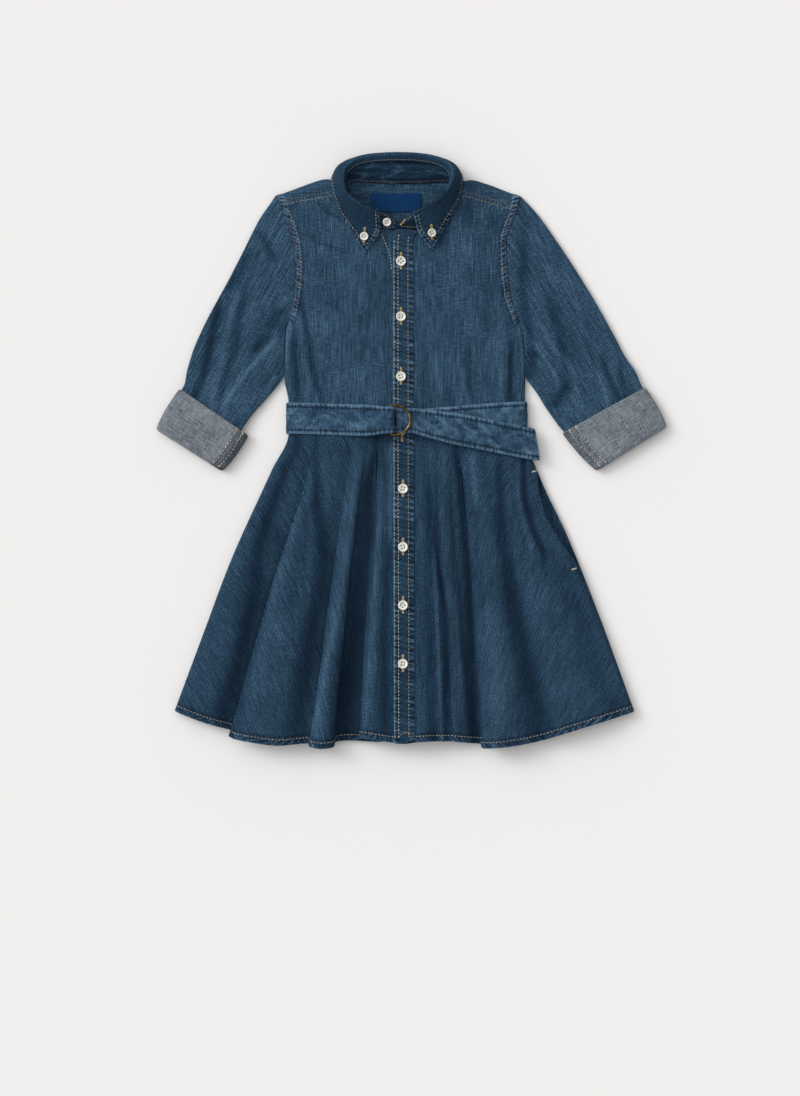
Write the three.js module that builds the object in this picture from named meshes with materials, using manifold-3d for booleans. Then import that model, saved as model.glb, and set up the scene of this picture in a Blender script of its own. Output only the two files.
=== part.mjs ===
// A child's denim shirt dress, lying flat and face up: bodice, yoke, rolled sleeves, button-down collar, flared skirt
// and a self-cloth belt drawn through two D-rings. Millimetres. +X is the wearer's left, +Y runs up to the collar and
// +Z away from the surface. Here x = 0 is the button line and y = 0 the waist seam; the last lines move the origin to
// the middle of the dress, on the surface.
import * as THREE from "three";
import Module from "manifold-3d";
import { mergeVertices } from "three/addons/utils/BufferGeometryUtils.js";

const wasm = await Module();
wasm.setup();

// Driving dimensions
const CLOTH = 1.2; // one layer of denim with its nap
const SEAM = 0.3; // air between two pieces
const COLLAR_CLOTH = 1.6; // two layers and the interlining
const SIDE_SEAM_Z = 3.2; // height of the side seams above the surface
const EDGE_ROLL = 24; // how far in from a side the cloth is still rounding over
const BELT = { width: 34.5, thick: 2.0, looped: 28.5, drawn: 24.5, lift: 2.4 };
const PLACKET = { width: 23.8, thick: 1.1, freeX: -11.3 };
const LAP = { edgeX: 8, drop: 2.0, from: -25, to: -13 }; // the right front, where it passes under the left one
const HEM = { depth: 8, extra: 0.6 };
const RING = { wire: 1.3, barX: -14.4, arcX: 9.4, midY: -3.3, tall: 37, lowZ: 17.4, highZ: 22.8, straight: 0.86 };
const BUTTON = { r: 5.6, high: 2.3, hole: 0.75, holeOut: 1.5, curvedSeat: 0.6 };

// Heights of the front's outer face along its middle, from the waist seam (v = 0) to the yoke seam (v = 1)
const MIDDLE_HEIGHT = [
  { v: 0, z: 9.6 },
  { v: 0.12, z: 8.6 },
  { v: 0.45, z: 8.0 },
  { v: 0.8, z: 8.4 },
  { v: 1, z: 7.4 },
];
// Front edges: the middle one runs up to the neck and round the neckline, the outer one up the side and armhole
const MIDDLE_EDGE = {
  right: [
    { v: 0, x: LAP.edgeX, y: 0 },
    { v: 0.78, x: 4, y: 210 },
    { v: 0.83, x: -13, y: 215.5 },
    { v: 0.88, x: -36, y: 220 },
    { v: 0.94, x: -57, y: 235 },
    { v: 1, x: -69, y: 255.3 },
  ],
  left: [
    { v: 0, x: PLACKET.freeX, y: 0 },
    { v: 0.74, x: PLACKET.freeX, y: 200 },
    { v: 0.8, x: -7.5, y: 216 },
    { v: 0.83, x: 14, y: 214.5 },
    { v: 0.88, x: 32, y: 219 },
    { v: 0.94, x: 50, y: 236 },
    { v: 1, x: 59.5, y: 256 },
  ],
};
const OUTER_EDGE = {
  right: [
    { v: 0, x: -131.3, y: 0, z: 5 },
    { v: 0.07, x: -131.4, y: 17, z: 4.8 },
    { v: 0.2, x: -136.3, y: 47, z: SIDE_SEAM_Z },
    { v: 0.4, x: -135.1, y: 95, z: SIDE_SEAM_Z },
    { v: 0.5, x: -128.8, y: 117.3, z: 3.6 },
    { v: 0.6, x: -124.6, y: 141, z: 5.2 },
    { v: 0.7, x: -122.7, y: 166, z: 6 },
    { v: 0.84, x: -125.3, y: 200, z: 6.2 },
    { v: 1, x: -139.5, y: 242.6, z: 6 },
  ],
  left: [
    { v: 0, x: 140, y: 0, z: 5 },
    { v: 0.07, x: 140.1, y: 17, z: 4.8 },
    { v: 0.2, x: 140.3, y: 47, z: SIDE_SEAM_Z },
    { v: 0.4, x: 138.8, y: 90, z: SIDE_SEAM_Z },
    { v: 0.5, x: 132.2, y: 112.1, z: 3.6 },
    { v: 0.6, x: 123.6, y: 139, z: 5.2 },
    { v: 0.7, x: 120.2, y: 166, z: 6 },
    { v: 0.84, x: 118.6, y: 200, z: 6.2 },
    { v: 1, x: 129.6, y: 235.7, z: 6 },
  ],
};
// Skirt fronts at the waist and at the hem, across the folds. Where hemX turns back, the cloth lies under itself.
const SKIRT_FOLDS = {
  right: [
    { waistX: -131.3, hemX: -262.2, hemY: -335.8, hemZ: 3.2 },
    { waistX: -129.6, hemX: -260.6, hemY: -336.6, hemZ: 8.5 },
    { waistX: -124, hemX: -246, hemY: -342.5, hemZ: 13.5 },
    { waistX: -111, hemX: -222, hemY: -351, hemZ: 15 },
    { waistX: -102, hemX: -202, hemY: -356.5, hemZ: 10.5 },
    { waistX: -97, hemX: -186, hemY: -361, hemZ: 5.6 },
    { waistX: -94, hemX: -181.5, hemY: -363, hemZ: 9.2 },
    { waistX: -91, hemX: -198.8, hemY: -364.6, hemZ: 14.6 },
    { waistX: -87, hemX: -195, hemY: -366.8, hemZ: 20.5 },
    { waistX: -78, hemX: -171, hemY: -371.5, hemZ: 24.5 },
    { waistX: -68, hemX: -143, hemY: -374.9, hemZ: 23.5 },
    { waistX: -60, hemX: -116, hemY: -373, hemZ: 16 },
    { waistX: -56, hemX: -105, hemY: -372.4, hemZ: 12.6 },
    { waistX: -53, hemX: -107.6, hemY: -375.6, hemZ: 18 },
    { waistX: -48, hemX: -94, hemY: -378.6, hemZ: 23.5 },
    { waistX: -43, hemX: -79.4, hemY: -377, hemZ: 17.5 },
    { waistX: -40.5, hemX: -76.4, hemY: -371.4, hemZ: 8.8 },
    { waistX: -37.5, hemX: -60, hemY: -370, hemZ: 6.2 },
    { waistX: -34, hemX: -30, hemY: -371.6, hemZ: 6.2 },
    { waistX: -32, hemX: -23.5, hemY: -371.4, hemZ: 10 },
    { waistX: -30, hemX: -49.4, hemY: -366, hemZ: 14.8 },
    { waistX: -27, hemX: -45, hemY: -366.4, hemZ: 19.8 },
    { waistX: -19, hemX: -26, hemY: -369.4, hemZ: 21.6 },
    { waistX: -11, hemX: -11.5, hemY: -371.6, hemZ: 20.4 },
    { waistX: LAP.edgeX, hemX: LAP.edgeX, hemY: -372.2, hemZ: 20.4 },
  ],
  left: [
    { waistX: PLACKET.freeX, hemX: -10.3, hemY: -372.4, hemZ: 20.4 },
    { waistX: 0.6, hemX: 1.6, hemY: -373, hemZ: 20.8 },
    { waistX: 12.5, hemX: 13.5, hemY: -371.4, hemZ: 20.6 },
    { waistX: 21, hemX: 25, hemY: -370.6, hemZ: 22 },
    { waistX: 29, hemX: 38.5, hemY: -370.3, hemZ: 17.4 },
    { waistX: 33.5, hemX: 45, hemY: -370.3, hemZ: 19.8 },
    { waistX: 38.5, hemX: 53, hemY: -370.3, hemZ: 15.4 },
    { waistX: 43, hemX: 61.5, hemY: -371, hemZ: 17 },
    { waistX: 49, hemX: 74, hemY: -372.4, hemZ: 11 },
    { waistX: 54, hemX: 88, hemY: -373.6, hemZ: 6.2 },
    { waistX: 58, hemX: 103, hemY: -374.4, hemZ: 6.2 },
    { waistX: 60, hemX: 108.5, hemY: -375, hemZ: 10 },
    { waistX: 62, hemX: 90.2, hemY: -377.6, hemZ: 15.4 },
    { waistX: 65, hemX: 94, hemY: -378.3, hemZ: 21 },
    { waistX: 75, hemX: 112, hemY: -377.2, hemZ: 24.5 },
    { waistX: 86, hemX: 130, hemY: -375, hemZ: 21 },
    { waistX: 94, hemX: 146, hemY: -372.4, hemZ: 15.6 },
    { waistX: 100, hemX: 161, hemY: -368.8, hemZ: 15.2 },
    { waistX: 110, hemX: 187, hemY: -360.8, hemZ: 19.5 },
    { waistX: 121, hemX: 216, hemY: -352, hemZ: 18 },
    { waistX: 133, hemX: 247, hemY: -342.6, hemZ: 13 },
    { waistX: 138.4, hemX: 264, hemY: -337.2, hemZ: 8 },
    { waistX: 140, hemX: 265.6, hemY: -336.6, hemZ: 3.2 },
  ],
};
// How much of the flare is reached on the way down, and how far the folds have opened
const FLARE = {
  right: [
    { v: 0, out: 0, open: 0 },
    { v: 0.05, out: 0, open: 0.03 },
    { v: 0.18, out: 0.15, open: 0.2 },
    { v: 0.49, out: 0.51, open: 0.55 },
    { v: 0.76, out: 0.77, open: 0.8 },
    { v: 1, out: 1, open: 1 },
  ],
  left: [
    { v: 0, out: 0, open: 0 },
    { v: 0.05, out: 0, open: 0.03 },
    { v: 0.2, out: 0.135, open: 0.2 },
    { v: 0.4, out: 0.385, open: 0.45 },
    { v: 0.67, out: 0.675, open: 0.72 },
    { v: 1, out: 1, open: 1 },
  ],
};
const BACK_HEM = [
  { x: -262.2, y: -335.8, wave: 0 },
  { x: -222, y: -348, wave: 0 },
  { x: -160, y: -361, wave: 3.6 },
  { x: -100, y: -367, wave: 0 },
  { x: -40, y: -364, wave: 0 },
  { x: 10, y: -366, wave: 3.2 },
  { x: 65, y: -367, wave: 0 },
  { x: 100, y: -368, wave: 0 },
  { x: 150, y: -363, wave: 3.4 },
  { x: 205, y: -350, wave: 0 },
  { x: 265.6, y: -336.6, wave: 0 },
];
const YOKE = { backY: 180, noseZ: 3.2, lift: 2.3, liftFrom: 236, liftTo: 266 };
// The shoulder folds, from the sleeve to the neck, and the neckline's places across the back of the yoke
const SHOULDER = {
  right: [[-145.5, 255.4], [-84, 274.5], [-67.4, 270]],
  left: [[134.2, 254.6], [76, 273.5], [57.4, 270]],
};
const NECK_X = -5;
const NECK_Y = 250;
const NECKLINE = [
  { out: 61.6, y: 264.5, z: 6.4, noseY: 269.4 },
  { out: 57.6, y: 270.4, z: 2.6 },
  { out: 49, y: 271.4, z: 2.3 },
  { out: 34, y: 270.2, z: 2.3 },
  { out: 16, y: 269.3, z: 2.3 },
  { out: 0, y: 269, z: 2.3 },
];
// Pocket mouth in the left side seam
const POCKET = { topY: -60.9, bottomY: -173.6, open: 15, bagFrom: 0.13, bagTo: 0.5, deep: 56, clear: 8 };
// Sleeves: pairs of edge points from the armhole down to the end inside the rolled cuff. zMid is the middle layer.
const SLEEVE = {
  right: [
    { outX: -145.8, outY: 256.6, inX: -129.6, inY: 116.4, zMid: 3.15 },
    { outX: -165, outY: 228, inX: -135.6, inY: 100, zMid: 3.15 },
    { outX: -184, outY: 190.5, inX: -137.6, inY: 84, zMid: 3.15 },
    { outX: -204, outY: 152, inX: -138.3, inY: 67, zMid: 3.15 },
    { outX: -224, outY: 115, inX: -138.6, inY: 50, zMid: 3.15 },
    { outX: -240, outY: 80, inX: -150, inY: 30, zMid: 3.3 },
    { outX: -248, outY: 54, inX: -172, inY: 5, zMid: 4.6 },
  ],
  left: [
    { outX: 134.6, outY: 255.6, inX: 133, inY: 111.2, zMid: 3.15 },
    { outX: 153, outY: 236, inX: 139.8, inY: 96, zMid: 3.15 },
    { outX: 176, outY: 203.5, inX: 141.8, inY: 80, zMid: 3.15 },
    { outX: 199, outY: 168.6, inX: 142.4, inY: 64, zMid: 3.15 },
    { outX: 221, outY: 132.6, inX: 142.8, inY: 48, zMid: 3.15 },
    { outX: 240, outY: 99, inX: 153, inY: 30, zMid: 3.3 },
    { outX: 256, outY: 69, inX: 163, inY: 13, zMid: 4.2 },
    { outX: 266, outY: 55, inX: 170, inY: 3, zMid: 4.8 },
  ],
};
// Rolled cuffs: the two ends of the top edge and of the turned bottom edge
const CUFF = {
  right: { topOut: [-256.5, 33.5], topIn: [-177.2, -20.4], endOut: [-284, -13.5], endIn: [-207.5, -62] },
  left: { topOut: [278, 35], topIn: [182.5, -17.5], endOut: [303.4, -10.5], endIn: [222, -61.5] },
  slack: { right: 8, left: 0 }, // how far the cuff stands out past the sleeve at its inner edge
  gapHalf: 1.95,
  rolled: 3.7, // the roll's thickness
  zMid: 5.65,
};
// The rolled cuff's section: a runs from the top edge (0) to the turn (1), r outwards from the sleeve's inside
const CUFF_SECTION = [
  { a: 0.3, r: 0 },
  { a: 0.88, r: 0 },
  { a: 0.96, r: 0.4 },
  { a: 1, r: 1.8 },
  { a: 0.965, r: 3.2 },
  { a: 0.88, r: 3.7 },
  { a: 0.3, r: 3.7 },
  { a: 0.06, r: 3.7 },
  { a: 0.005, r: 3.3 },
  { a: 0, r: 2.5 },
  { a: 0.02, r: 1.55 },
  { a: 0.88, r: 1.55 },
  { a: 0.92, r: 1.35 },
  { a: 0.88, r: 1.2 },
  { a: 0.3, r: 1.2 },
];
// The collar's stand, from the right front round the back to the left front: its seam to the neck and its top
const STAND = [
  { base: [-7.5, 217, 9.6], top: [-8.2, 221, 10.4] },
  { base: [-14, 216.6, 9.9], top: [-12.4, 228.6, 13.6] },
  { base: [-25, 217, 9.9], top: [-22, 234.6, 16.2] },
  { base: [-36, 219, 9.9], top: [-33.2, 237.2, 18.4] },
  { base: [-47, 224.8, 9.8], top: [-45, 241.2, 21.4] },
  { base: [-56, 232.6, 9.6], top: [-56.2, 247, 23.4] },
  { base: [-63.4, 243.3, 9], top: [-64.2, 255.6, 24.8] },
  { base: [-67.6, 254.5, 8.1], top: [-68, 266, 25.4] },
  { base: [-67, 264, 7.7], top: [-68.8, 276, 24.2] },
  { base: [-63.6, 270.4, 5.6], top: [-66.2, 285, 20.6] },
  { base: [-55, 271.8, 4.1], top: [-56.5, 294, 15.8] },
  { base: [-40, 270.8, 3.9], top: [-43.5, 298.4, 12.8] },
  { base: [-22, 269.8, 3.8], top: [-23, 300.6, 11.8] },
  { base: [-4, 269.6, 3.8], top: [-4, 301.2, 11.4] },
  { base: [14, 269.8, 3.8], top: [15.5, 300.4, 11.8] },
  { base: [31, 270.8, 3.9], top: [35.5, 297.4, 12.8] },
  { base: [45, 271.8, 4.1], top: [48.3, 292.4, 15.8] },
  { base: [53.6, 270.4, 5.6], top: [55.8, 284, 20.6] },
  { base: [57, 264, 7.7], top: [55.4, 275.4, 24.2] },
  { base: [57.6, 254.5, 8.1], top: [53.2, 265.4, 25.4] },
  { base: [53.4, 243.3, 9], top: [47.8, 254, 24.8] },
  { base: [46, 232.6, 9.6], top: [38.4, 246, 23.4] },
  { base: [37, 224.8, 9.8], top: [27.5, 240.2, 20.8] },
  { base: [26, 219, 9.9], top: [16.5, 235.4, 18.2] },
  { base: [15, 217, 10.4], top: [9, 231.6, 16.4] },
  { base: [4, 217.4, 10.7], top: [1.4, 225.6, 13.8] },
  { base: [-5, 218.4, 11], top: [-5, 220.6, 11.6] },
];
// The collar's leaf the same way round: where it folds over, its middle and its outer edge, points first and last
const LEAF = [
  { fold: [-27.6, 236.8, 19.6], mid: [-26.4, 217, 15.4], edge: [-43.7, 188.6, 10.4] },
  { fold: [-34, 238.8, 21.8], mid: [-36, 220.5, 17], edge: [-49.5, 198.8, 10.4] },
  { fold: [-43.7, 242.2, 24.4], mid: [-48, 227.5, 18.6], edge: [-57, 210.4, 10.4] },
  { fold: [-54, 247.6, 26.4], mid: [-59.4, 235.6, 19.4], edge: [-65, 221.4, 10.4] },
  { fold: [-62.4, 253.8, 27.8], mid: [-68.6, 245.2, 20.2], edge: [-72.4, 234, 10.4] },
  { fold: [-67.6, 261.6, 28.4], mid: [-74.6, 256, 20.4], edge: [-78.2, 249.6, 10.2] },
  { fold: [-70, 271.4, 28.2], mid: [-77.8, 268, 19.2], edge: [-81.6, 263.6, 9.4] },
  { fold: [-70.2, 279.4, 26.6], mid: [-79, 277.6, 15.6], edge: [-82.4, 275, 6.4] },
  { fold: [-67.6, 287.6, 22.6], mid: [-77.4, 285.6, 9.6], edge: [-78.6, 281.6, 1.4] },
  { fold: [-59.6, 295.4, 18], mid: [-69, 293.4, 5.4], edge: [-67.5, 283.4, 0.4] },
  { fold: [-46, 300.6, 15.2], mid: [-50.5, 299.6, 4.2], edge: [-50.5, 279.5, 0.3] },
  { fold: [-24, 303.4, 14.2], mid: [-26, 302.2, 4], edge: [-27, 276.5, 0.3] },
  { fold: [-3.5, 303.9, 13.9], mid: [-3.5, 302.6, 4], edge: [-3.5, 275.4, 0.3] },
  { fold: [17, 303, 14.2], mid: [19, 301.6, 4], edge: [20, 276.5, 0.3] },
  { fold: [37, 299.6, 15.2], mid: [42.4, 298, 4.2], edge: [43.4, 279.5, 0.3] },
  { fold: [51, 294, 18], mid: [59.4, 291, 5.4], edge: [59.6, 283, 0.4] },
  { fold: [57.6, 286.4, 22.6], mid: [65.6, 283, 9.6], edge: [67.6, 280, 1.4] },
  { fold: [58.4, 278.4, 26.6], mid: [66, 276, 15.6], edge: [69, 273.6, 6.4] },
  { fold: [56.4, 270, 28.2], mid: [64, 267, 19.2], edge: [68.4, 262.4, 9.4] },
  { fold: [53, 261.6, 28.4], mid: [60.4, 257, 20.4], edge: [65.6, 250.6, 10.2] },
  { fold: [47, 254.4, 27.8], mid: [54.4, 246.6, 20.2], edge: [60.4, 240.6, 10.4] },
  { fold: [38.6, 248, 26.4], mid: [46, 238, 19.4], edge: [54.2, 229.4, 10.4] },
  { fold: [29, 242.8, 24.4], mid: [37, 229.4, 18.6], edge: [48.4, 219, 10.4] },
  { fold: [19.6, 238.4, 21.8], mid: [27.6, 221.6, 17], edge: [41.8, 207.4, 10.4] },
  { fold: [12, 235.2, 19.6], mid: [17.2, 215, 15.4], edge: [33.3, 192.5, 10.4] },
];
// The belt's path, seen from the hem: from the end turned under behind the D-rings, over the rings' bars, round the
// right side, under the back, up the left side, through both rings and back over the lower one to the free end.
const BELT_PATH = [
  { x: -46, z: 12.6, y: -3.4, width: 30, slope: 0 },
  { x: -32, z: 12.6, y: -3.4, width: 29.5, slope: 0 },
  { x: -21, z: 13.8, y: -3.4, width: 29, slope: 0 },
  { x: -14.6, z: 14.6, y: -3.4, width: 29, slope: 0 },
  { x: -11.3, z: 17.4, y: -3.4, width: 29, slope: 0 },
  { x: -11.3, z: 22.8, y: -3.4, width: 29, slope: 0 },
  { x: -14.6, z: 25.6, y: -3.4, width: 29, slope: 0 },
  { x: -21, z: 24.6, y: -3.4, width: 29, slope: 0 },
  { x: -32, z: 19.6, y: -3.4, width: 32.5, slope: 0 },
  { x: -47, z: 15.8, y: -3.3, width: 34.5, slope: 0.03 },
  { x: -62, z: 12.4, y: -2.8, width: 34.5, slope: 0.03 },
  { x: -85, z: 11.2, y: -2, width: 34.5, slope: 0.03 },
  { x: -108, z: 11.2, y: -1.2, width: 34.5, slope: 0.03 },
  { x: -124, z: 10.4, y: -0.8, width: 34.5, slope: 0 },
  { x: -131.9, z: 7.8, y: -0.7, width: 34.5, slope: 0 },
  { x: -133.3, z: 4.6, y: -0.7, width: 34.5, slope: 0 },
  { x: -131, z: 1.6, y: -0.7, width: 34.5, slope: 0 },
  { x: -124, z: 1, y: -0.7, width: 34.5, slope: 0 },
  { x: -60, z: 1, y: -0.7, width: 34.5, slope: 0 },
  { x: 70, z: 1, y: 0, width: 34.5, slope: 0 },
  { x: 132, z: 1, y: 0.4, width: 34.5, slope: 0 },
  { x: 139.6, z: 1.6, y: 0.4, width: 34.5, slope: 0 },
  { x: 142.1, z: 4.6, y: 0.4, width: 34.5, slope: 0 },
  { x: 140.8, z: 7.8, y: 0.4, width: 34.5, slope: 0 },
  { x: 132, z: 10.6, y: 0.2, width: 34.5, slope: 0.04 },
  { x: 112, z: 11.4, y: -0.8, width: 34.5, slope: 0.07 },
  { x: 80, z: 11.8, y: -3, width: 34, slope: 0.07 },
  { x: 48, z: 13, y: -4.6, width: 31.5, slope: 0.05 },
  { x: 22, z: 14.6, y: -4.6, width: 27, slope: 0.02 },
  { x: 6, z: 14.9, y: -4, width: 26, slope: 0 },
  { x: -3.5, z: 15.2, y: -3.6, width: 26, slope: 0 },
  { x: -7.4, z: 17.5, y: -3.4, width: 26, slope: 0 },
  { x: -3.8, z: 20, y: -3.2, width: 26, slope: 0 },
  { x: 3, z: 20.2, y: -3, width: 24.5, slope: -0.05 },
  { x: 12, z: 20, y: -3, width: 24.8, slope: -0.1 },
  { x: 22, z: 18.4, y: -5.6, width: 27.5, slope: -0.15 },
  { x: 42, z: 16.4, y: -9.6, width: 32, slope: -0.18 },
  { x: 66, z: 15.2, y: -14.2, width: 34.5, slope: -0.2 },
  { x: 94, z: 14.2, y: -19.6, width: 34.5, slope: -0.2 },
  { x: 124, z: 13.6, y: -25.6, width: 34.5, slope: -0.2 },
  { x: 142, z: 12.6, y: -29.2, width: 34.5, slope: -0.2 },
  { x: 153.7, z: 10.6, y: -31.4, width: 34.5, slope: 0.16 },
];
const FRONT_BUTTONS = [
  { x: -2.3, y: 179.4 },
  { x: -2.3, y: 116.1 },
  { x: -2.3, y: 47.1 },
  { x: -1.1, y: -16.1 },
  { x: 0, y: -81.6 },
  { x: 0, y: -148.3 },
  { x: 0, y: -215 },
  { x: 0, y: -281.8 },
];
const STAND_BUTTON = { x: -18.4, y: 225.4 };
const COLLAR_BUTTONS = [
  { name: "button_collar_right", x: -44.3, y: 209.3 },
  { name: "button_collar_left", x: 32.8, y: 215 },
];
const LABEL = { x: [-36.8, 20.7], y: [236.9, 257.6], thick: 0.7 };

const DENIM = new THREE.MeshStandardMaterial({ color: 0x2f4c68, roughness: 0.9 });
const DENIM_INSIDE = new THREE.MeshStandardMaterial({ color: 0x7d848c, roughness: 0.92 });
const BRASS = new THREE.MeshStandardMaterial({ color: 0x8f6f3c, roughness: 0.35, metalness: 1 });
const SHELL = new THREE.MeshStandardMaterial({ color: 0xe6e4d8, roughness: 0.35 });
const WOVEN = new THREE.MeshStandardMaterial({ color: 0x14305f, roughness: 0.6 });

const dress = new THREE.Group();
const { lerp, clamp } = THREE.MathUtils;
const point = (x, y, z) => new THREE.Vector3(x, y, z);

function ease(from, to, x) {
  const t = clamp((x - from) / (to - from), 0, 1);
  return t * t * (3 - 2 * t);
}

// One column of a table at a place in its first column, by a smooth curve that never passes its rows
function column(rows, at, key, x) {
  const last = rows.length - 1;
  const place = clamp(x, rows[0][at], rows[last][at]);
  let i = 0;
  while (i < last - 1 && rows[i + 1][at] < place) i += 1;
  const rise = (k) => (rows[k + 1][key] - rows[k][key]) / (rows[k + 1][at] - rows[k][at]);
  const slope = (k) => {
    if (k === 0) return rise(0);
    if (k === last) return rise(last - 1);
    const before = rise(k - 1);
    const after = rise(k);
    return before * after <= 0 ? 0 : (2 * before * after) / (before + after);
  };
  const step = rows[i + 1][at] - rows[i][at];
  const t = (place - rows[i][at]) / step;
  const [a, b] = [rows[i][key], rows[i + 1][key]];
  return (
    a * (1 + 2 * t) * (1 - t) ** 2 +
    b * t * t * (3 - 2 * t) +
    step * t * (1 - t) * (slope(i) * (1 - t) - slope(i + 1) * t)
  );
}

// The same for a table whose rows are evenly spaced from 0 to 1
function across(rows, key, u) {
  return column(rows.map((row, i) => ({ ...row, at: i / (rows.length - 1) })), "at", key, u);
}

const through = (points) => new THREE.CatmullRomCurve3(points, false, "centripetal");

// How far a rounded edge has risen at a distance from it: 0 at the edge, 1 from the roll on
function roundOver(distance, roll) {
  const left = 1 - clamp(distance / roll, 0, 1);
  return Math.sqrt(1 - left * left);
}

// Normals of a grid of points; ring: the second index closes on itself
function normalsOf(grid, ring) {
  const columns = grid[0].length;
  return grid.map((row, i) =>
    row.map((_, j) => {
      const up = grid[Math.min(i + 1, grid.length - 1)][j].clone().sub(grid[Math.max(i - 1, 0)][j]);
      const after = ring ? (j + 1) % columns : Math.min(j + 1, columns - 1);
      const before = ring ? (j - 1 + columns) % columns : Math.max(j - 1, 0);
      return up.cross(row[after].clone().sub(row[before])).normalize();
    }),
  );
}

function moved(grid, distance, ring = false) {
  const normals = normalsOf(grid, ring);
  return grid.map((row, i) => row.map((p, j) => p.clone().addScaledVector(normals[i][j], distance)));
}

// A closed solid from two matching grids of points
function between(outer, inner, ring = false) {
  const [rows, columns] = [outer.length, outer[0].length];
  const positions = [outer, inner].flatMap((grid) => grid.flatMap((row) => row.flatMap((p) => p.toArray())));
  const at = (side, i, j) => (side * rows + i) * columns + (j % columns);
  const index = [];
  const quad = (a, b, c, d) => index.push(a, b, c, a, c, d);
  const wide = ring ? columns : columns - 1;
  for (let i = 0; i < rows - 1; i += 1) {
    for (let j = 0; j < wide; j += 1) {
      quad(at(0, i, j), at(0, i + 1, j), at(0, i + 1, j + 1), at(0, i, j + 1));
      quad(at(1, i, j), at(1, i, j + 1), at(1, i + 1, j + 1), at(1, i + 1, j));
    }
  }
  for (let j = 0; j < wide; j += 1) {
    quad(at(0, 0, j), at(0, 0, j + 1), at(1, 0, j + 1), at(1, 0, j));
    quad(at(0, rows - 1, j), at(1, rows - 1, j), at(1, rows - 1, j + 1), at(0, rows - 1, j + 1));
  }
  if (!ring) {
    for (let i = 0; i < rows - 1; i += 1) {
      quad(at(0, i, 0), at(1, i, 0), at(1, i + 1, 0), at(0, i + 1, 0));
      const j = columns - 1;
      quad(at(0, i, j), at(0, i + 1, j), at(1, i + 1, j), at(1, i, j));
    }
  }
  return outwards(positions, index);
}

// A closed solid whose grid closes on itself both ways
function closedLoop(grid) {
  const [rows, columns] = [grid.length, grid[0].length];
  const at = (i, j) => (i % rows) * columns + (j % columns);
  const index = [];
  for (let i = 0; i < rows; i += 1) {
    for (let j = 0; j < columns; j += 1) {
      index.push(at(i, j), at(i + 1, j), at(i + 1, j + 1), at(i, j), at(i + 1, j + 1), at(i, j + 1));
    }
  }
  return outwards(grid.flatMap((row) => row.flatMap((p) => p.toArray())), index);
}

function outwards(positions, index) {
  const corner = (k) => point(positions[3 * k], positions[3 * k + 1], positions[3 * k + 2]);
  let volume = 0;
  for (let k = 0; k < index.length; k += 3) {
    volume += corner(index[k]).dot(corner(index[k + 1]).cross(corner(index[k + 2])));
  }
  if (volume < 0) index.reverse();
  const geometry = new THREE.BufferGeometry();
  geometry.setAttribute("position", new THREE.Float32BufferAttribute(positions, 3));
  geometry.setIndex(index);
  return geometry;
}

// A panel whose side edges meet another panel's edge to edge: there the cloth is cut level
function seamed(grid, depth, sides) {
  const inner = moved(grid, -depth);
  for (const { column, inward } of sides) {
    grid.forEach((row, i) => inner[i].splice(column, 1, row[column].clone().setX(row[column].x + inward)));
  }
  return between(grid, inner);
}

// A cloth wall behind a grid of face points; depth is negative where the grid's normals point inwards
function wall(grid, depth, ring = false) {
  return between(grid, moved(grid, -depth, ring), ring);
}

function add(name, geometry, material) {
  const mesh = new THREE.Mesh(geometry, material);
  mesh.name = name;
  dress.add(mesh);
  return mesh;
}

const steps = (n) => Array.from({ length: n + 1 }, (_, i) => i / n);

// Fronts of the bodice
function lapDrop(side, x) {
  return side === "right" ? LAP.drop * ease(LAP.from, LAP.to, x) : 0;
}

function frontPoint(side, v, distance, share) {
  const middle = MIDDLE_EDGE[side];
  const outer = OUTER_EDGE[side];
  const [mx, my] = ["x", "y"].map((key) => column(middle, "v", key, v));
  const [ox, oy, oz] = ["x", "y", "z"].map((key) => column(outer, "v", key, v));
  const width = Math.hypot(ox - mx, oy - my);
  const t = share === undefined ? distance / width : lerp(distance / width, 1, share);
  const x = lerp(mx, ox, t);
  const high = column(MIDDLE_HEIGHT, "v", "z", v) - lapDrop(side, x);
  return point(x, lerp(my, oy, t), lerp(oz, high, roundOver(width * (1 - t), EDGE_ROLL)));
}

const BODICE_ROWS = [0, 0.04, 0.09, 0.17, 0.28, 0.39, 0.5, 0.58, 0.66, 0.74, 0.8, 0.83, 0.88, 0.94, 1];
const NECK_ROW = 10; // the row of v = 0.8, where the placket ends
const PLACKET_COLUMNS = [0, 0.25, 0.5, 0.75, 1].map((t) => t * PLACKET.width);
const INNER_COLUMNS = { left: PLACKET_COLUMNS, right: [0, 20, 28, 34] };
const OUTER_SHARES = [0.25, 0.5, 0.7, 0.84, 0.92, 0.97, 0.992, 1];

function bodiceFront(side) {
  const near = INNER_COLUMNS[side];
  return BODICE_ROWS.map((v) => [
    ...near.map((distance) => frontPoint(side, v, distance)),
    ...OUTER_SHARES.map((share) => frontPoint(side, v, near[near.length - 1], share)),
  ]);
}

// Skirt fronts: folds that spread from the waist to the hem
function skirtPoint(side, u, v) {
  const folds = SKIRT_FOLDS[side];
  const flare = FLARE[side];
  const waistX = across(folds, "waistX", u);
  const out = column(flare, "v", "out", v);
  const open = column(flare, "v", "open", v);
  const seamX = OUTER_EDGE[side][0].x;
  const waistZ = lerp(OUTER_EDGE[side][0].z, MIDDLE_HEIGHT[0].z, roundOver(Math.abs(waistX - seamX), EDGE_ROLL));
  const x = lerp(waistX, across(folds, "hemX", u), out);
  const z = lerp(waistZ, across(folds, "hemZ", u), open) - lapDrop(side, x);
  return point(x, lerp(-SEAM, across(folds, "hemY", u), v), z);
}

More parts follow.
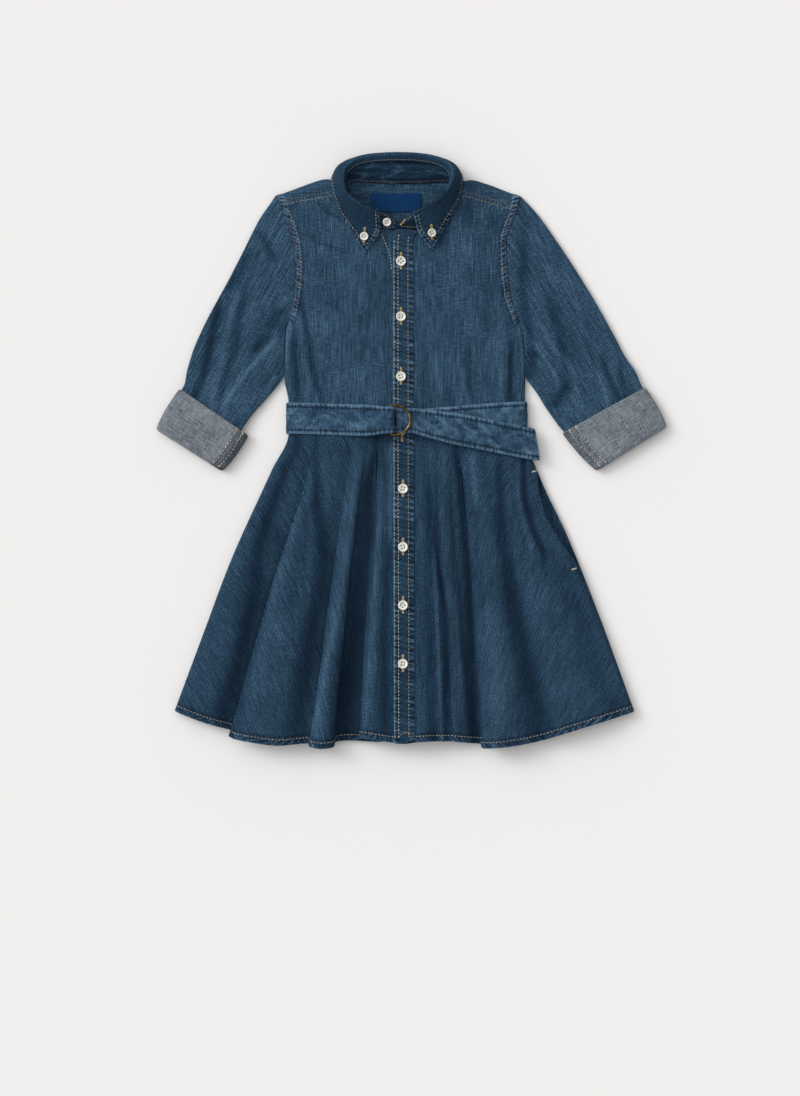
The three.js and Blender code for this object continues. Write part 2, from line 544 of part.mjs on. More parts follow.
function mouth(y) {
  const t = clamp((y - POCKET.topY) / (POCKET.bottomY - POCKET.topY), 0, 1);
  return POCKET.open * Math.sin(Math.PI * t) ** 1.2;
}

const HEM_V = 1 - HEM.depth / 372;
const SKIRT_ROWS = [0, 0.05, 0.12, 0.2, 0.28, 0.36, 0.45, 0.6, 0.8, HEM_V, HEM_V + 0.004, 1];
// Places across the folds: each row of the table, and half-way between two rows where a fold turns sharply
const SKIRT_COLUMNS = Object.fromEntries(
  ["right", "left"].map((side) => {
    const folds = SKIRT_FOLDS[side];
    const last = folds.length - 1;
    const turns = (i) => Math.abs(folds[i].hemX - folds[i + 1].hemX) > 14 || side === "left" && i < 2;
    return [side, folds.flatMap((_, i) => (i < last && turns(i) ? [i, i + 0.5] : [i])).map((i) => i / last)];
  }),
);

function skirtFront(side) {
  return SKIRT_ROWS.map((v) =>
    SKIRT_COLUMNS[side].map((u) => {
      const p = skirtPoint(side, u, v);
      if (side === "left" && u > 0.8) {
        // The mouth of the pocket draws the side edge in; the columns near it share the move
        const edge = skirtPoint(side, 1, v);
        const cut = mouth(edge.y) * ease(0.8, 1, u);
        const uCut = findColumn(side, v, p.x - cut, u);
        return skirtPoint(side, uCut, v).setY(p.y);
      }
      return p;
    }),
  );
}

// The place across the left skirt, at or before u, whose x is the one asked for
function findColumn(side, v, x, u) {
  let [low, high] = [0.72, u];
  for (let k = 0; k < 30; k += 1) {
    const half = (low + high) / 2;
    if (skirtPoint(side, half, v).x < x) low = half;
    else high = half;
  }
  return high;
}

// Lays the doubled hem on the last rows of a skirt piece
function withHem(grid, sign) {
  const raised = moved(grid, sign * HEM.extra);
  return grid.map((row, i) => (i >= SKIRT_ROWS.length - 2 ? raised[i] : row));
}

// Backs: the outer face lies on the surface
function beltLift(y) {
  return BELT.lift * ease(-34, -19, y) * (1 - ease(18, 32, y));
}

function backPoint(x, y, edgeLeft, edgeRight, edgeZ) {
  const distance = Math.min(x - edgeLeft, edgeRight - x);
  const curl = 1 - roundOver(distance, 7);
  return point(x, y, lerp(beltLift(y), edgeZ, curl));
}

function spread(left, right, shares) {
  return shares.map((t) => lerp(left, right, t));
}

const BACK_SHARES = [0, 0.004, 0.012, 0.03, 0.1, 0.25, 0.4, 0.6, 0.75, 0.9, 0.97, 0.988, 0.996, 1];
const BACK_ROWS = [0, 0.078, 0.105, 0.13, 0.2, 0.32, 0.44, 0.5, 0.58, 0.66, 0.755];

function bodiceBack() {
  return BACK_ROWS.map((v) => {
    const [right, left] = ["right", "left"].map((side) => ({
      x: column(OUTER_EDGE[side], "v", "x", v),
      y: Math.min(column(OUTER_EDGE[side], "v", "y", v), YOKE.backY - SEAM),
      z: lerp(column(OUTER_EDGE[side], "v", "z", v), 0.4, ease(0.45, 0.6, v)),
    }));
    return BACK_SHARES.map((t) => {
      const p = backPoint(lerp(right.x, left.x, t), lerp(right.y, left.y, t), right.x, left.x, 0);
      const curl = 1 - roundOver(Math.min(p.x - right.x, left.x - p.x), 7);
      const edgeZ = (t < 0.5 ? right.z : left.z) - SEAM;
      return p.setZ(lerp(beltLift(p.y), edgeZ, curl));
    });
  });
}

function skirtBack() {
  const places = [0, 0.004, 0.012, 0.03, ...steps(12).map((t) => lerp(0.08, 0.92, t)), 0.97, 0.988, 0.996, 1];
  return SKIRT_ROWS.map((v) => {
    const right = skirtPoint("right", 0, v);
    const left = skirtPoint("left", 1, v);
    return places.map((t) => {
      const hemX = lerp(BACK_HEM[0].x, BACK_HEM[BACK_HEM.length - 1].x, t);
      const x = lerp(right.x, left.x, t);
      const y = lerp(-SEAM, column(BACK_HEM, "x", "y", hemX), v);
      const wave = column(BACK_HEM, "x", "wave", hemX) * ease(0.2, 1, v);
      const edgeZ = (t < 0.5 ? right.z : left.z) - SEAM;
      const curl = 1 - roundOver(Math.min(x - right.x, left.x - x), 7);
      return point(x, y, lerp(beltLift(y) + wave, edgeZ, curl));
    });
  });
}

// Yoke: from the front seams over the shoulders, or from the back neckline, to the back seam
function yokeLift(x, y) {
  const near = 1 - ease(62, 84, Math.abs(x + 3));
  return YOKE.lift * near * ease(YOKE.liftFrom, YOKE.liftTo, y);
}

// The armhole and, past the front yoke seam, the yoke's end over the shoulder
function armhole(side, key, y) {
  const [tipX, tipY] = SHOULDER[side][0];
  return column([...OUTER_EDGE[side], { x: tipX, y: tipY, z: YOKE.noseZ }], "y", key, y);
}

function yokeColumn(start, nose, xAt) {
  const floor = (y) => point(xAt(y), y, yokeLift(xAt(y), y));
  const controls = [point(...start)];
  let top = start[1];
  if (nose) {
    const [nx, ny] = nose;
    const low = yokeLift(nx, ny - 6);
    controls.push(point(lerp(start[0], nx, 0.7), lerp(start[1], ny, 0.7), lerp(start[2], YOKE.noseZ, 0.18)));
    controls.push(point(nx, ny, Math.max(YOKE.noseZ, low + 1.8)));
    controls.push(point(xAt(ny - 2.4), ny - 2.4, low + 0.5));
    top = ny - 7;
    controls.push(floor(top));
  }
  for (const t of [0.15, 0.35, 0.6, 0.8, 1]) controls.push(floor(lerp(top, YOKE.backY, t)));
  return through(controls)
    .getSpacedPoints(12)
    .map((p) => p.setZ(Math.max(p.z, 0)));
}

function yoke() {
  const shoulder = (side, f) => {
    const edge = frontPoint(side, 1, 0, 1 - f);
    const fold = through(SHOULDER[side].map(([x, y]) => point(x, y, 0))).getPointAt(f);
    const neckX = SHOULDER[side][2][0];
    return yokeColumn([edge.x, edge.y + SEAM, edge.z], [fold.x, fold.y], (y) => lerp(armhole(side, "x", y), neckX, f));
  };
  const neckline = (sign) =>
    NECKLINE.map(({ out, y, z, noseY }) => {
      const x = NECK_X + sign * out;
      return yokeColumn([x, y, z], noseY && [x, noseY], () => x);
    });
  return [
    ...[0, 0.25, 0.5, 0.75, 0.92].map((f) => shoulder("right", f)),
    ...neckline(-1),
    ...neckline(1).slice(0, -1).reverse(),
    ...[0.92, 0.75, 0.5, 0.25, 0].map((f) => shoulder("left", f)),
  ];
}

// Sleeves: flattened tubes
function flatRing(t) {
  // t runs 0 to 1 over the top face from the outer edge to the inner one, then 1 to 2 back underneath
  const angle = t <= 1 ? Math.PI * t : Math.PI * (2 - t);
  return { along: (1 - Math.cos(angle)) / 2, high: Math.sin(angle) ** 0.5, top: t <= 1 };
}

const AROUND = 20;
const SLEEVE_GAP = 0.6; // between a sleeve and its armhole
const SLEEVE_ROWS = [0, 0.05, 0.14, 0.27, 0.42, 0.57, 0.72, 0.86, 1];

function cuffPoint(side, t, a, r, slack = 0) {
  const { topOut, topIn, endOut, endIn } = CUFF[side];
  const { along, high, top } = flatRing(t);
  const [ox, oy] = [lerp(topOut[0], endOut[0], a), lerp(topOut[1], endOut[1], a)];
  const [ix, iy] = [lerp(topIn[0], endIn[0], a), lerp(topIn[1], endIn[1], a)];
  const width = Math.hypot(ix - ox, iy - oy);
  const inset = (CUFF.rolled - r) / width;
  const share = lerp(inset, 1 - inset - slack / width, along);
  const half = (CUFF.gapHalf + r) * high;
  return point(lerp(ox, ix, share), lerp(oy, iy, share), CUFF.zMid + (top ? half : -half));
}

function sleeve(side) {
  const sign = side === "right" ? -1 : 1;
  const tipY = SHOULDER[side][0][1];
  const pitY = OUTER_EDGE[side][4].y;
  const around = Array.from({ length: AROUND }, (_, k) => (2 * k) / AROUND);
  const tube = SLEEVE_ROWS.map((s) => {
    const row = Object.fromEntries(
      ["outX", "outY", "inX", "inY", "zMid"].map((key) => [key, across(SLEEVE[side], key, s)]),
    );
    const first = SLEEVE[side][0];
    const joined = 1 - ease(0, 0.3, s);
    return around.map((t) => {
      const { along, high, top } = flatRing(t);
      const half = (CUFF.gapHalf + CLOTH) * high;
      const armY = lerp(tipY, pitY, along);
      const armX = armhole(side, "x", armY) + sign * SLEEVE_GAP;
      const x = lerp(row.outX, row.inX, along) + joined * (armX - lerp(first.outX, first.inX, along));
      const y = lerp(row.outY, row.inY, along) + joined * (armY - lerp(first.outY, first.inY, along));
      const armZ = lerp(row.zMid, top ? armhole(side, "z", armY) : 0, high);
      return point(x, y, lerp(row.zMid + (top ? half : -half), armZ, joined));
    });
  });
  // Inside the cuff the sleeve keeps to the cuff's own shape
  const ends = [-0.12, 0, 0.2].map((a) => around.map((t) => cuffPoint(side, t, a, CLOTH, CUFF.slack[side])));
  return [...tube, ...ends];
}

function cuff(side) {
  return Array.from({ length: AROUND }, (_, k) => CUFF_SECTION.map(({ a, r }) => cuffPoint(side, (2 * k) / AROUND, a, r)));
}

// Collar
function curvesOf(rows) {
  return Object.fromEntries(Object.keys(rows[0]).map((key) => [key, through(rows.map((row) => point(...row[key])))]));
}

function collarStand() {
  const { base, top } = curvesOf(STAND);
  return steps(36).map((t) => {
    const [low, high] = [base.getPoint(t), top.getPoint(t)];
    return steps(2).map((w) => low.clone().lerp(high, w));
  });
}

// From just inside the fold over it and out to the edge
const LEAF_ROLL = { inward: 1.5, down: 1.1, foldAt: 0.08, midAt: 0.5 };

function collarLeaf() {
  const { fold, mid, edge } = curvesOf(LEAF);
  return steps(40).map((t) => {
    const [f, m, e] = [fold, mid, edge].map((curve) => curve.getPoint(t));
    const inward = point(NECK_X - f.x, NECK_Y - f.y, 0).normalize();
    const start = f.clone().addScaledVector(inward, LEAF_ROLL.inward).setZ(f.z - LEAF_ROLL.down);
    const rows = [start, f, m, e].map(({ x, y, z }, k) => ({ w: [0, LEAF_ROLL.foldAt, LEAF_ROLL.midAt, 1][k], x, y, z }));
    return [0, 0.08, 0.2, 0.35, 0.5, 0.7, 1].map((w) =>
      point(...["x", "y", "z"].map((key) => column(rows, "w", key, w))),
    );
  });
}

// Belt
function belt() {
  const path = through(BELT_PATH.map(({ x, z }) => point(x, 0, z)));
  const last = BELT_PATH.length - 1;
  const grid = [];
  for (let i = 0; i <= last; i += 1) {
    for (const part of i < last ? [0, 0.5] : [0]) {
      const u = (i + part) / last;
      const p = path.getPoint(u);
      const [y, width, slope] = ["y", "width", "slope"].map((key) => across(BELT_PATH, key, u));
      const turn = Math.atan(slope);
      grid.push(
        [-0.5, 0, 0.5].map((w) => point(p.x - w * width * Math.sin(turn), y + w * width * Math.cos(turn), Math.max(p.z, 1))),
      );
    }
  }
  return between(moved(grid, BELT.thick / 2), moved(grid, -BELT.thick / 2));
}

// D-rings: a straight bar and a round bow of brass wire
function dRing(z) {
  const { wire, barX, arcX, midY, tall } = RING;
  const half = tall / 2 - wire;
  const corner = 3;
  const bow = Array.from({ length: 13 }, (_, k) => {
    const angle = lerp(-Math.PI / 2, Math.PI / 2, k / 12);
    const reach = arcX - wire - (barX + corner);
    return point(barX + corner + reach * Math.cos(angle), midY + half * Math.sin(angle), z);
  });
  const bar = [1, 0.5, 0, -0.5, -1].map((t) => t * RING.straight).map((t) => point(barX, midY + half * t, z));
  const path = new THREE.CatmullRomCurve3([...bow, ...bar], true, "centripetal");
  const rounds = 30;
  const frames = path.computeFrenetFrames(rounds, true);
  return closedLoop(
    Array.from({ length: rounds }, (_, i) => {
      const centre = path.getPointAt(i / rounds);
      return Array.from({ length: 6 }, (_, j) => {
        const angle = (Math.PI * 2 * j) / 6;
        return centre
          .clone()
          .addScaledVector(frames.normals[i], wire * Math.cos(angle))
          .addScaledVector(frames.binormals[i], wire * Math.sin(angle));
      });
    }),
  );
}

// Four-hole button, face up, its back at z = 0
function solidOf(geometry) {
  const bare = geometry.clone();
  bare.deleteAttribute("normal");
  bare.deleteAttribute("uv");
  const merged = mergeVertices(bare, 1e-4);
  return new wasm.Manifold(
    new wasm.Mesh({
      numProp: 3,
      vertProperties: merged.attributes.position.array,
      triVerts: new Uint32Array(merged.index.array),
    }),
  );
}

function buttonGeometry() {
  const { r, high, hole, holeOut } = BUTTON;
  const profile = [
    [0, 0],
    [r, 0],
    [r, high - 0.5],
    [r - 0.8, high],
    [r - 1.8, high - 0.8],
    [0, high - 0.8],
  ].map(([x, y]) => new THREE.Vector2(x, y));
  let body = solidOf(new THREE.LatheGeometry(profile, 14).rotateX(Math.PI / 2));
  for (const [sx, sy] of [[1, 1], [1, -1], [-1, 1], [-1, -1]]) {
    const drill = new THREE.CylinderGeometry(hole, hole, 3 * high, 4).rotateX(Math.PI / 2);
    body = body.subtract(solidOf(drill.translate(sx * holeOut, sy * holeOut, 0)));
  }
  const mesh = body.getMesh();
  const geometry = new THREE.BufferGeometry();
  geometry.setAttribute("position", new THREE.BufferAttribute(mesh.vertProperties, 3));
  geometry.setIndex(new THREE.BufferAttribute(mesh.triVerts, 1));
  return geometry;
}

// The face of a grid under or over a place seen from above
function seatOn(grid, x, y) {
  for (let i = 0; i < grid.length - 1; i += 1) {
    for (let j = 0; j < grid[0].length - 1; j += 1) {
      const corners = [grid[i][j], grid[i + 1][j], grid[i + 1][j + 1], grid[i][j + 1]];
      for (const [a, b, c] of [[corners[0], corners[1], corners[2]], [corners[0], corners[2], corners[3]]]) {
        const face = new THREE.Triangle(a, b, c);
        const flat = new THREE.Triangle(a.clone().setZ(0), b.clone().setZ(0), c.clone().setZ(0));
        if (flat.containsPoint(point(x, y, 0))) {
          const plane = face.getPlane(new THREE.Plane());
          if (plane.normal.z < 0) plane.negate();
          const z = -(plane.constant + plane.normal.x * x + plane.normal.y * y) / plane.normal.z;
          return { at: point(x, y, z), normal: plane.normal };
        }
      }
    }
  }
  throw new Error(`nothing to seat a button on at ${x}, ${y}`);
}

function placket(front, skirt) {
  const rows = [...front.slice(0, NECK_ROW + 1).reverse(), ...skirt.slice(1)];
  return rows.map((row) => row.slice(0, PLACKET_COLUMNS.length));
}

function addButton(name, grid, x, y, seat) {
  const { at, normal } = seatOn(grid, x, y);
  const button = add(name, buttonGeometry(), SHELL);
  button.quaternion.setFromUnitVectors(point(0, 0, 1), normal);
  button.position.copy(at).addScaledVector(normal, seat);
}

function label() {
  return steps(4).map((v) =>
    steps(4).map((u) => {
      const [x, y] = [lerp(LABEL.x[0], LABEL.x[1], u), lerp(LABEL.y[0], LABEL.y[1], v)];
      return point(x, y, yokeLift(x, y) + CLOTH + SEAM);
    }),
  );
}

// The strip inside the pocket's mouth, on the back's inner face
function pocketFacing() {
  return steps(8).map((t) => {
    const v = lerp(POCKET.bagFrom, POCKET.bagTo, t);
    const edge = skirtPoint("left", 1, v);
    return [POCKET.deep, 30, POCKET.clear].map((inset) => point(edge.x - inset, edge.y, CLOTH + SEAM));
  });
}

// Assembly
const fronts = { right: bodiceFront("right"), left: bodiceFront("left") };
const skirts = { right: withHem(skirtFront("right"), 1), left: withHem(skirtFront("left"), 1) };
const lastOf = (grid) => grid[0].length - 1;
const rightSeam = { column: 0, inward: CLOTH };
const leftSeam = (grid) => ({ column: lastOf(grid), inward: -CLOTH });
add("bodice_front_right", seamed(fronts.right, CLOTH, [{ column: lastOf(fronts.right), inward: CLOTH }]), DENIM);
add("bodice_front_left", seamed(fronts.left, -CLOTH, [leftSeam(fronts.left)]), DENIM);
const backs = { bodice: bodiceBack(), skirt: skirtBack() };
add("bodice_back", seamed(backs.bodice, CLOTH, [rightSeam, leftSeam(backs.bodice)]), DENIM);
add("skirt_front_right", seamed(skirts.right, CLOTH, [rightSeam]), DENIM);
add("skirt_front_left", seamed(skirts.left, CLOTH, [leftSeam(skirts.left)]), DENIM);
add("skirt_back", seamed(backs.skirt, -CLOTH, [rightSeam, leftSeam(backs.skirt)]), DENIM);
add("yoke", wall(yoke(), CLOTH), DENIM);
add("sleeve_right", wall(sleeve("right"), CLOTH, true), DENIM);
add("sleeve_left", wall(sleeve("left"), -CLOTH, true), DENIM);
add("cuff_right", closedLoop(cuff("right")), DENIM_INSIDE);
add("cuff_left", closedLoop(cuff("left")), DENIM_INSIDE);
const stand = collarStand();
const leaf = collarLeaf();
add("collar_stand", wall(stand, -COLLAR_CLOTH), DENIM);
add("collar_leaf", wall(leaf, COLLAR_CLOTH), DENIM);
const bandBase = moved(placket(fronts.left, skirts.left), SEAM);
const band = moved(bandBase, PLACKET.thick);
add("placket", between(band, bandBase), DENIM);
add("pocket_facing", wall(pocketFacing(), -CLOTH), DENIM);
add("woven_label", wall(label(), LABEL.thick), WOVEN);
add("belt", belt(), DENIM);
add("d_ring_lower", dRing(RING.lowZ), BRASS);
add("d_ring_upper", dRing(RING.highZ), BRASS);
FRONT_BUTTONS.forEach(({ x, y }, i) => addButton(`button_front_${i + 1}`, band, x, y, SEAM));
for (const { name, x, y } of COLLAR_BUTTONS) addButton(name, leaf, x, y, BUTTON.curvedSeat);
addButton("button_stand", stand, STAND_BUTTON.x, STAND_BUTTON.y, BUTTON.curvedSeat);

const bounds = new THREE.Box3().setFromObject(dress);
dress.position.set(-(bounds.min.x + bounds.max.x) / 2, -(bounds.min.y + bounds.max.y) / 2, -bounds.min.z);

export default dress;
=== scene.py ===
import math
from functools import partial

import bpy
import numpy as np
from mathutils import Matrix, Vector


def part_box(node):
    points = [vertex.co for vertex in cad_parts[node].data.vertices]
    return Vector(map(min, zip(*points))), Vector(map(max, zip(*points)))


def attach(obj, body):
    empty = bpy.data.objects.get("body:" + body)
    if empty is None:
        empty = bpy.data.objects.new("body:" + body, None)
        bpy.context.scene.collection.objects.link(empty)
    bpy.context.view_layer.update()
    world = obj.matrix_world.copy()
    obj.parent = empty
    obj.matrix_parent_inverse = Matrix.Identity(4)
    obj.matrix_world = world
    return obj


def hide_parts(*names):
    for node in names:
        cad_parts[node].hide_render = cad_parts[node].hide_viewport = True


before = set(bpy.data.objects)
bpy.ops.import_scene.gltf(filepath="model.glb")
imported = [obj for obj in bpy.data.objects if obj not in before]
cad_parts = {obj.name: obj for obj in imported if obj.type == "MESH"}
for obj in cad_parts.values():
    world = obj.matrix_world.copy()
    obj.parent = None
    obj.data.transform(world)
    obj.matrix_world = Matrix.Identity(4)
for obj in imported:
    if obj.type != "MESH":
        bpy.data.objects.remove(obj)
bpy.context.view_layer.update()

# A child's denim shirt dress, laid flat. Lengths are in millimetres until a mesh is made. In the tables
# x = 0 is the button line and y = 0 the waist seam, as in the CAD; the label's place gives the shift to
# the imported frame.
MM = 0.001
SEAM, CLOTH, COLLAR_CLOTH, BELT_THICK = 0.3, 1.2, 1.6, 2.0
EDGE_ROLL = 24.0
LABEL_X, LABEL_Y = (-36.8, 20.7), (236.9, 257.6)
SIDES, SIGN = ("right", "left"), {"right": -1, "left": 1}
label_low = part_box("woven_label")[0]
SHIFT = np.array([label_low[0] / MM - LABEL_X[0], label_low[1] / MM - LABEL_Y[0], 0.0])

FINE = 1.0


def count(number):
    return max(4, int(number * FINE))


def steps(number, low=0.0, high=1.0):
    return np.linspace(low, high, count(number))


# Curves


def stack(*parts):
    return np.stack(np.broadcast_arrays(*parts), axis=-1)


def unit(vectors):
    return vectors / np.maximum(np.linalg.norm(vectors, axis=-1, keepdims=True), 1e-9)


def lengths(points):
    """How far along a run each of its points lies."""
    return np.concatenate([[0], np.cumsum(np.linalg.norm(np.diff(points, axis=0), axis=1))])


def read(at, along, points):
    return stack(*(np.interp(at, along, points[:, k]) for k in range(3)))


def hermite(start, end, leave, arrive, t):
    along = start * (1 + 2 * t) * (1 - t) ** 2 + end * t * t * (3 - 2 * t)
    return along + t * (1 - t) * (leave * (1 - t) - arrive * t)


def smooth_curve(xs, ys, x):
    """Reads ys between the rows of xs by a smooth curve that never passes its rows."""
    ys = np.asarray(ys, float)
    x = np.clip(np.asarray(x, float), xs[0], xs[-1])
    spread = lambda a: a.reshape(a.shape + (1,) * (ys.ndim - 1))
    rise = np.diff(ys, axis=0) / spread(np.diff(xs))
    before, after = rise[:-1], rise[1:]
    same = before * after > 0
    between = np.where(same, 2 * before * after / np.where(same, before + after, 1.0), 0.0)
    slope = np.concatenate([rise[:1], between, rise[-1:]])
    i = np.clip(np.searchsorted(xs, x, side="right") - 1, 0, len(xs) - 2)
    step = spread(xs[i + 1] - xs[i])
    return hermite(ys[i], ys[i + 1], step * slope[i], step * slope[i + 1], spread(x - xs[i]) / step)


class Table:
    """Rows of numbers with named columns."""

    def __init__(self, names, rows):
        self.columns = dict(zip(names.split(), np.array(rows, float).T))

    def get(self, name, by, x):
        return smooth_curve(self.columns[by], self.columns[name], x)

    def across(self, name, t):
        values = self.columns[name]
        return smooth_curve(np.linspace(0, 1, len(values)), values, t)

    def points(self, row):
        return stack(*(self.columns[f"{row}_{axis}"] for axis in "xyz"))


def through(points, t):
    """A smooth curve through points, or through whole rows of them; t from 0 to 1 counts them evenly."""
    p = np.asarray(points, float)
    wide = np.concatenate([[2 * p[0] - p[1]], p, [2 * p[-1] - p[-2]]])
    place = np.clip(np.asarray(t, float), 0, 1) * (len(p) - 1)
    i = np.minimum(place.astype(int), len(p) - 2)
    before, start, end, after = wide[i], wide[i + 1], wide[i + 2], wide[i + 3]
    gap = lambda a, b: np.sqrt(np.linalg.norm(b - a, axis=-1, keepdims=True)) + 1e-9
    g0, g1, g2 = gap(before, start), gap(start, end), gap(end, after)
    leave = ((start - before) / g0 - (end - before) / (g0 + g1) + (end - start) / g1) * g1
    arrive = ((end - start) / g1 - (after - start) / (g1 + g2) + (after - end) / g2) * g1
    return hermite(start, end, leave, arrive, (place - i).reshape((-1,) + (1,) * (p.ndim - 1)))


def spaced(points, number):
    """number points evenly spaced along a dense run of points."""
    along = lengths(points)
    return read(np.linspace(0, along[-1], number), along, points)


def mix(a, b, t):
    return a + (b - a) * t


def ease(low, high, x):
    t = np.clip((x - low) / (high - low), 0, 1)
    return t * t * (3 - 2 * t)


def round_over(distance, roll):
    left = 1 - np.clip(distance / roll, 0, 1)
    return np.sqrt(np.maximum(1 - left * left, 0))


def bump(x, centre, width):
    return np.exp(-(((x - centre) / width) ** 2))


LATTICE = 128
lattices = {}


def noise(x, y, seed):
    """Smooth seeded noise between about -1 and 1, with features one unit across."""
    if seed not in lattices:
        lattices[seed] = np.random.default_rng(seed).uniform(-1, 1, (LATTICE, LATTICE))
    grid = lattices[seed]
    x, y = np.broadcast_arrays(np.asarray(x, float), np.asarray(y, float))
    i, j = np.floor(x).astype(int), np.floor(y).astype(int)
    fx, fy = ease(0, 1, x - i), ease(0, 1, y - j)
    i0, j0, i1, j1 = (place % LATTICE for place in (i, j, i + 1, j + 1))
    return mix(mix(grid[i0, j0], grid[i1, j0], fx), mix(grid[i0, j1], grid[i1, j1], fx), fy)


def rough(x, y, seed):
    """Three layers of noise, each finer and weaker."""
    layers = ((1, 0.6), (2.1, 0.28), (4.3, 0.12))
    return sum(share * noise(fine * x, fine * y, seed + k) for k, (fine, share) in enumerate(layers))


# Materials


class Shader:
    """A material built node by node. Cloth textures run in the cloth's own coordinates, a unit for 100 mm."""

    def __init__(self, name):
        self.material = bpy.data.materials.new(name)
        self.material.use_nodes = True
        self.tree = self.material.node_tree
        self.bsdf = self.tree.nodes["Principled BSDF"]

    def feed(self, socket, value):
        if isinstance(value, bpy.types.NodeSocket):
            self.tree.links.new(value, socket)
        else:
            socket.default_value = value

    def node(self, kind, inputs=None, **settings):
        made = self.tree.nodes.new("ShaderNode" + kind)
        for key, value in settings.items():
            setattr(made, key, value)
        for key, value in (inputs or {}).items():
            self.feed(made.inputs[key], value)
        return made

    def cloth(self, scale):
        place = self.node("UVMap", uv_map="cloth").outputs["UV"]
        return self.node("Mapping", {"Vector": place, "Scale": (*scale, 1)}).outputs["Vector"]

    def noise(self, scale, detail=3.0, roughness=0.6):
        inputs = {"Vector": self.cloth(scale), "Scale": 1.0, "Detail": detail, "Roughness": roughness}
        return self.node("TexNoise", inputs).outputs["Fac"]

    def grain(self, scale, detail, distortion=0.0):
        """Noise in the mesh's own coordinates, for what isn't cloth."""
        place = self.node("TexCoord").outputs["Object"]
        inputs = {"Vector": place, "Scale": scale, "Detail": detail, "Distortion": distortion}
        return self.node("TexNoise", inputs).outputs["Fac"]

    def bands(self, scale, direction, inputs):
        """Parallel lines across the cloth."""
        inputs = {"Vector": self.cloth(scale), **inputs}
        return self.node("TexWave", inputs, wave_type="BANDS", bands_direction=direction).outputs["Fac"]

    # The mesh's tone values: real wear of edges and puckers, and also painted shade and light, darker in fold
    # hollows and button holes, lighter on fold ridges.
    def wear_and_shade(self):
        return self.node("Attribute", attribute_name="wear_and_shade").outputs["Fac"]

    def maths(self, operation, a, b, clamp=False):
        made = self.node("Math", operation=operation, use_clamp=clamp)
        self.feed(made.inputs[0], a)
        self.feed(made.inputs[1], b)
        return made.outputs[0]

    def total(self, parts, level=0.0):
        """The sum of parts, each less its level and times its amount."""
        found = None
        for part, amount in parts:
            if level:
                part = self.maths("SUBTRACT", part, level)
            share = self.maths("MULTIPLY", part, amount)
            found = share if found is None else self.maths("ADD", found, share)
        return found

    def ramp(self, factor, stops):
        made = self.node("ValToRGB", {"Fac": factor})
        elements = made.color_ramp.elements
        for element, (place, colour) in zip(elements, (stops[0], stops[-1])):
            element.position, element.color = place, (*colour, 1)
        for place, colour in stops[1:-1]:
            elements.new(place).color = (*colour, 1)
        return made.outputs["Color"]

    def finish(self, height, strength, distance, **inputs):
        """Sets the shader's own inputs, words of a name joined by _, with a bump where a height is given."""
        if height is not None:
            relief = {"Height": height, "Strength": strength, "Distance": distance}
            inputs["Normal"] = self.node("Bump", relief).outputs["Normal"]
        for name, value in inputs.items():
            self.feed(self.bsdf.inputs[name.replace("_", " ")], value)
        return self.material


DARK, MIDDLE, LIGHT = (0.0045, 0.0132, 0.0275), (0.0197, 0.0512, 0.092), (0.105, 0.190, 0.285)


def denim(name, slub, weft, fleck, even=0.0, wear_and_shade=0.75):
    """Indigo twill: long warp slubs, finer weft ones, twill lines, pale flecks, and from the mesh both real
    wear and painted fold shade and light.
    """
    shade = Shader(name)
    long_slub = shade.noise((92, 3.3), detail=5.0, roughness=0.7)
    speck = shade.noise((82, 76), roughness=0.75)
    uneven = {"Distortion": 1.2, "Detail": 2.0, "Detail Scale": 3.0}
    twill = shade.bands((1, 0.72), "DIAGONAL", {"Scale": 26.0, **uneven})
    tone = shade.total([
        (long_slub, 1.45 * slub),
        (shade.noise((28, 1.9), roughness=0.55), 0.21 * slub),
        (shade.noise((11, 80), roughness=0.65), 1.1 * weft),
        (shade.noise((2.2, 1.6), detail=4.0), 0.4),
        (speck, 2.1 * fleck),
        (twill, 0.15),
    ], level=0.5)
    # Adds the mesh's values: real wear, and painted shade and light of the folds.
    tone = shade.maths("ADD", tone, shade.maths("MULTIPLY", shade.wear_and_shade(), wear_and_shade))
    colour = shade.ramp(shade.maths("ADD", tone, 0.5 + even, True), [(0, DARK), (0.5, MIDDLE), (1, LIGHT)])
    weave = shade.total([(twill, 0.5), (speck, 0.7), (long_slub, 0.6)])
    return shade.finish(weave, 0.55, 0.00035, Base_Color=colour, Roughness=0.82, Specular_IOR_Level=0.06)


def denim_reverse():
    """The reverse of the denim: pale weft with grey-blue warp showing through as a fine crosshatch."""
    shade = Shader("denim_reverse")
    warp, weft = shade.noise((75, 8)), shade.noise((8, 75))
    speck = shade.noise((110, 110), detail=2.0, roughness=0.75)
    tone = shade.total([(warp, 1.1), (weft, 1.2), (speck, 1.1), (shade.noise((3, 3)), 0.5)], level=0.5)
    tone = shade.maths("ADD", tone, shade.maths("MULTIPLY", shade.wear_and_shade(), 0.5))
    stops = [(0.1, (0.045, 0.058, 0.074)), (0.9, (0.285, 0.315, 0.345))]
    colour = shade.ramp(shade.maths("ADD", tone, 0.5, True), stops)
    weave = shade.total([(speck, 1.0), (warp, 1.0), (weft, 1.0)])
    look = {"Roughness": 0.88, "Specular_IOR_Level": 0.15, "Sheen_Weight": 0.15}
    return shade.finish(weave, 0.5, 0.0003, Base_Color=colour, **look)


def thread(name, dark, light):
    shade = Shader(f"thread_{name}")
    twist = shade.grain(900.0, 2.0)
    colour = shade.ramp(twist, [(0.3, dark), (0.7, light)])
    return shade.finish(twist, 0.4, 0.0001, Base_Color=colour, Roughness=0.6, Sheen_Weight=0.1)


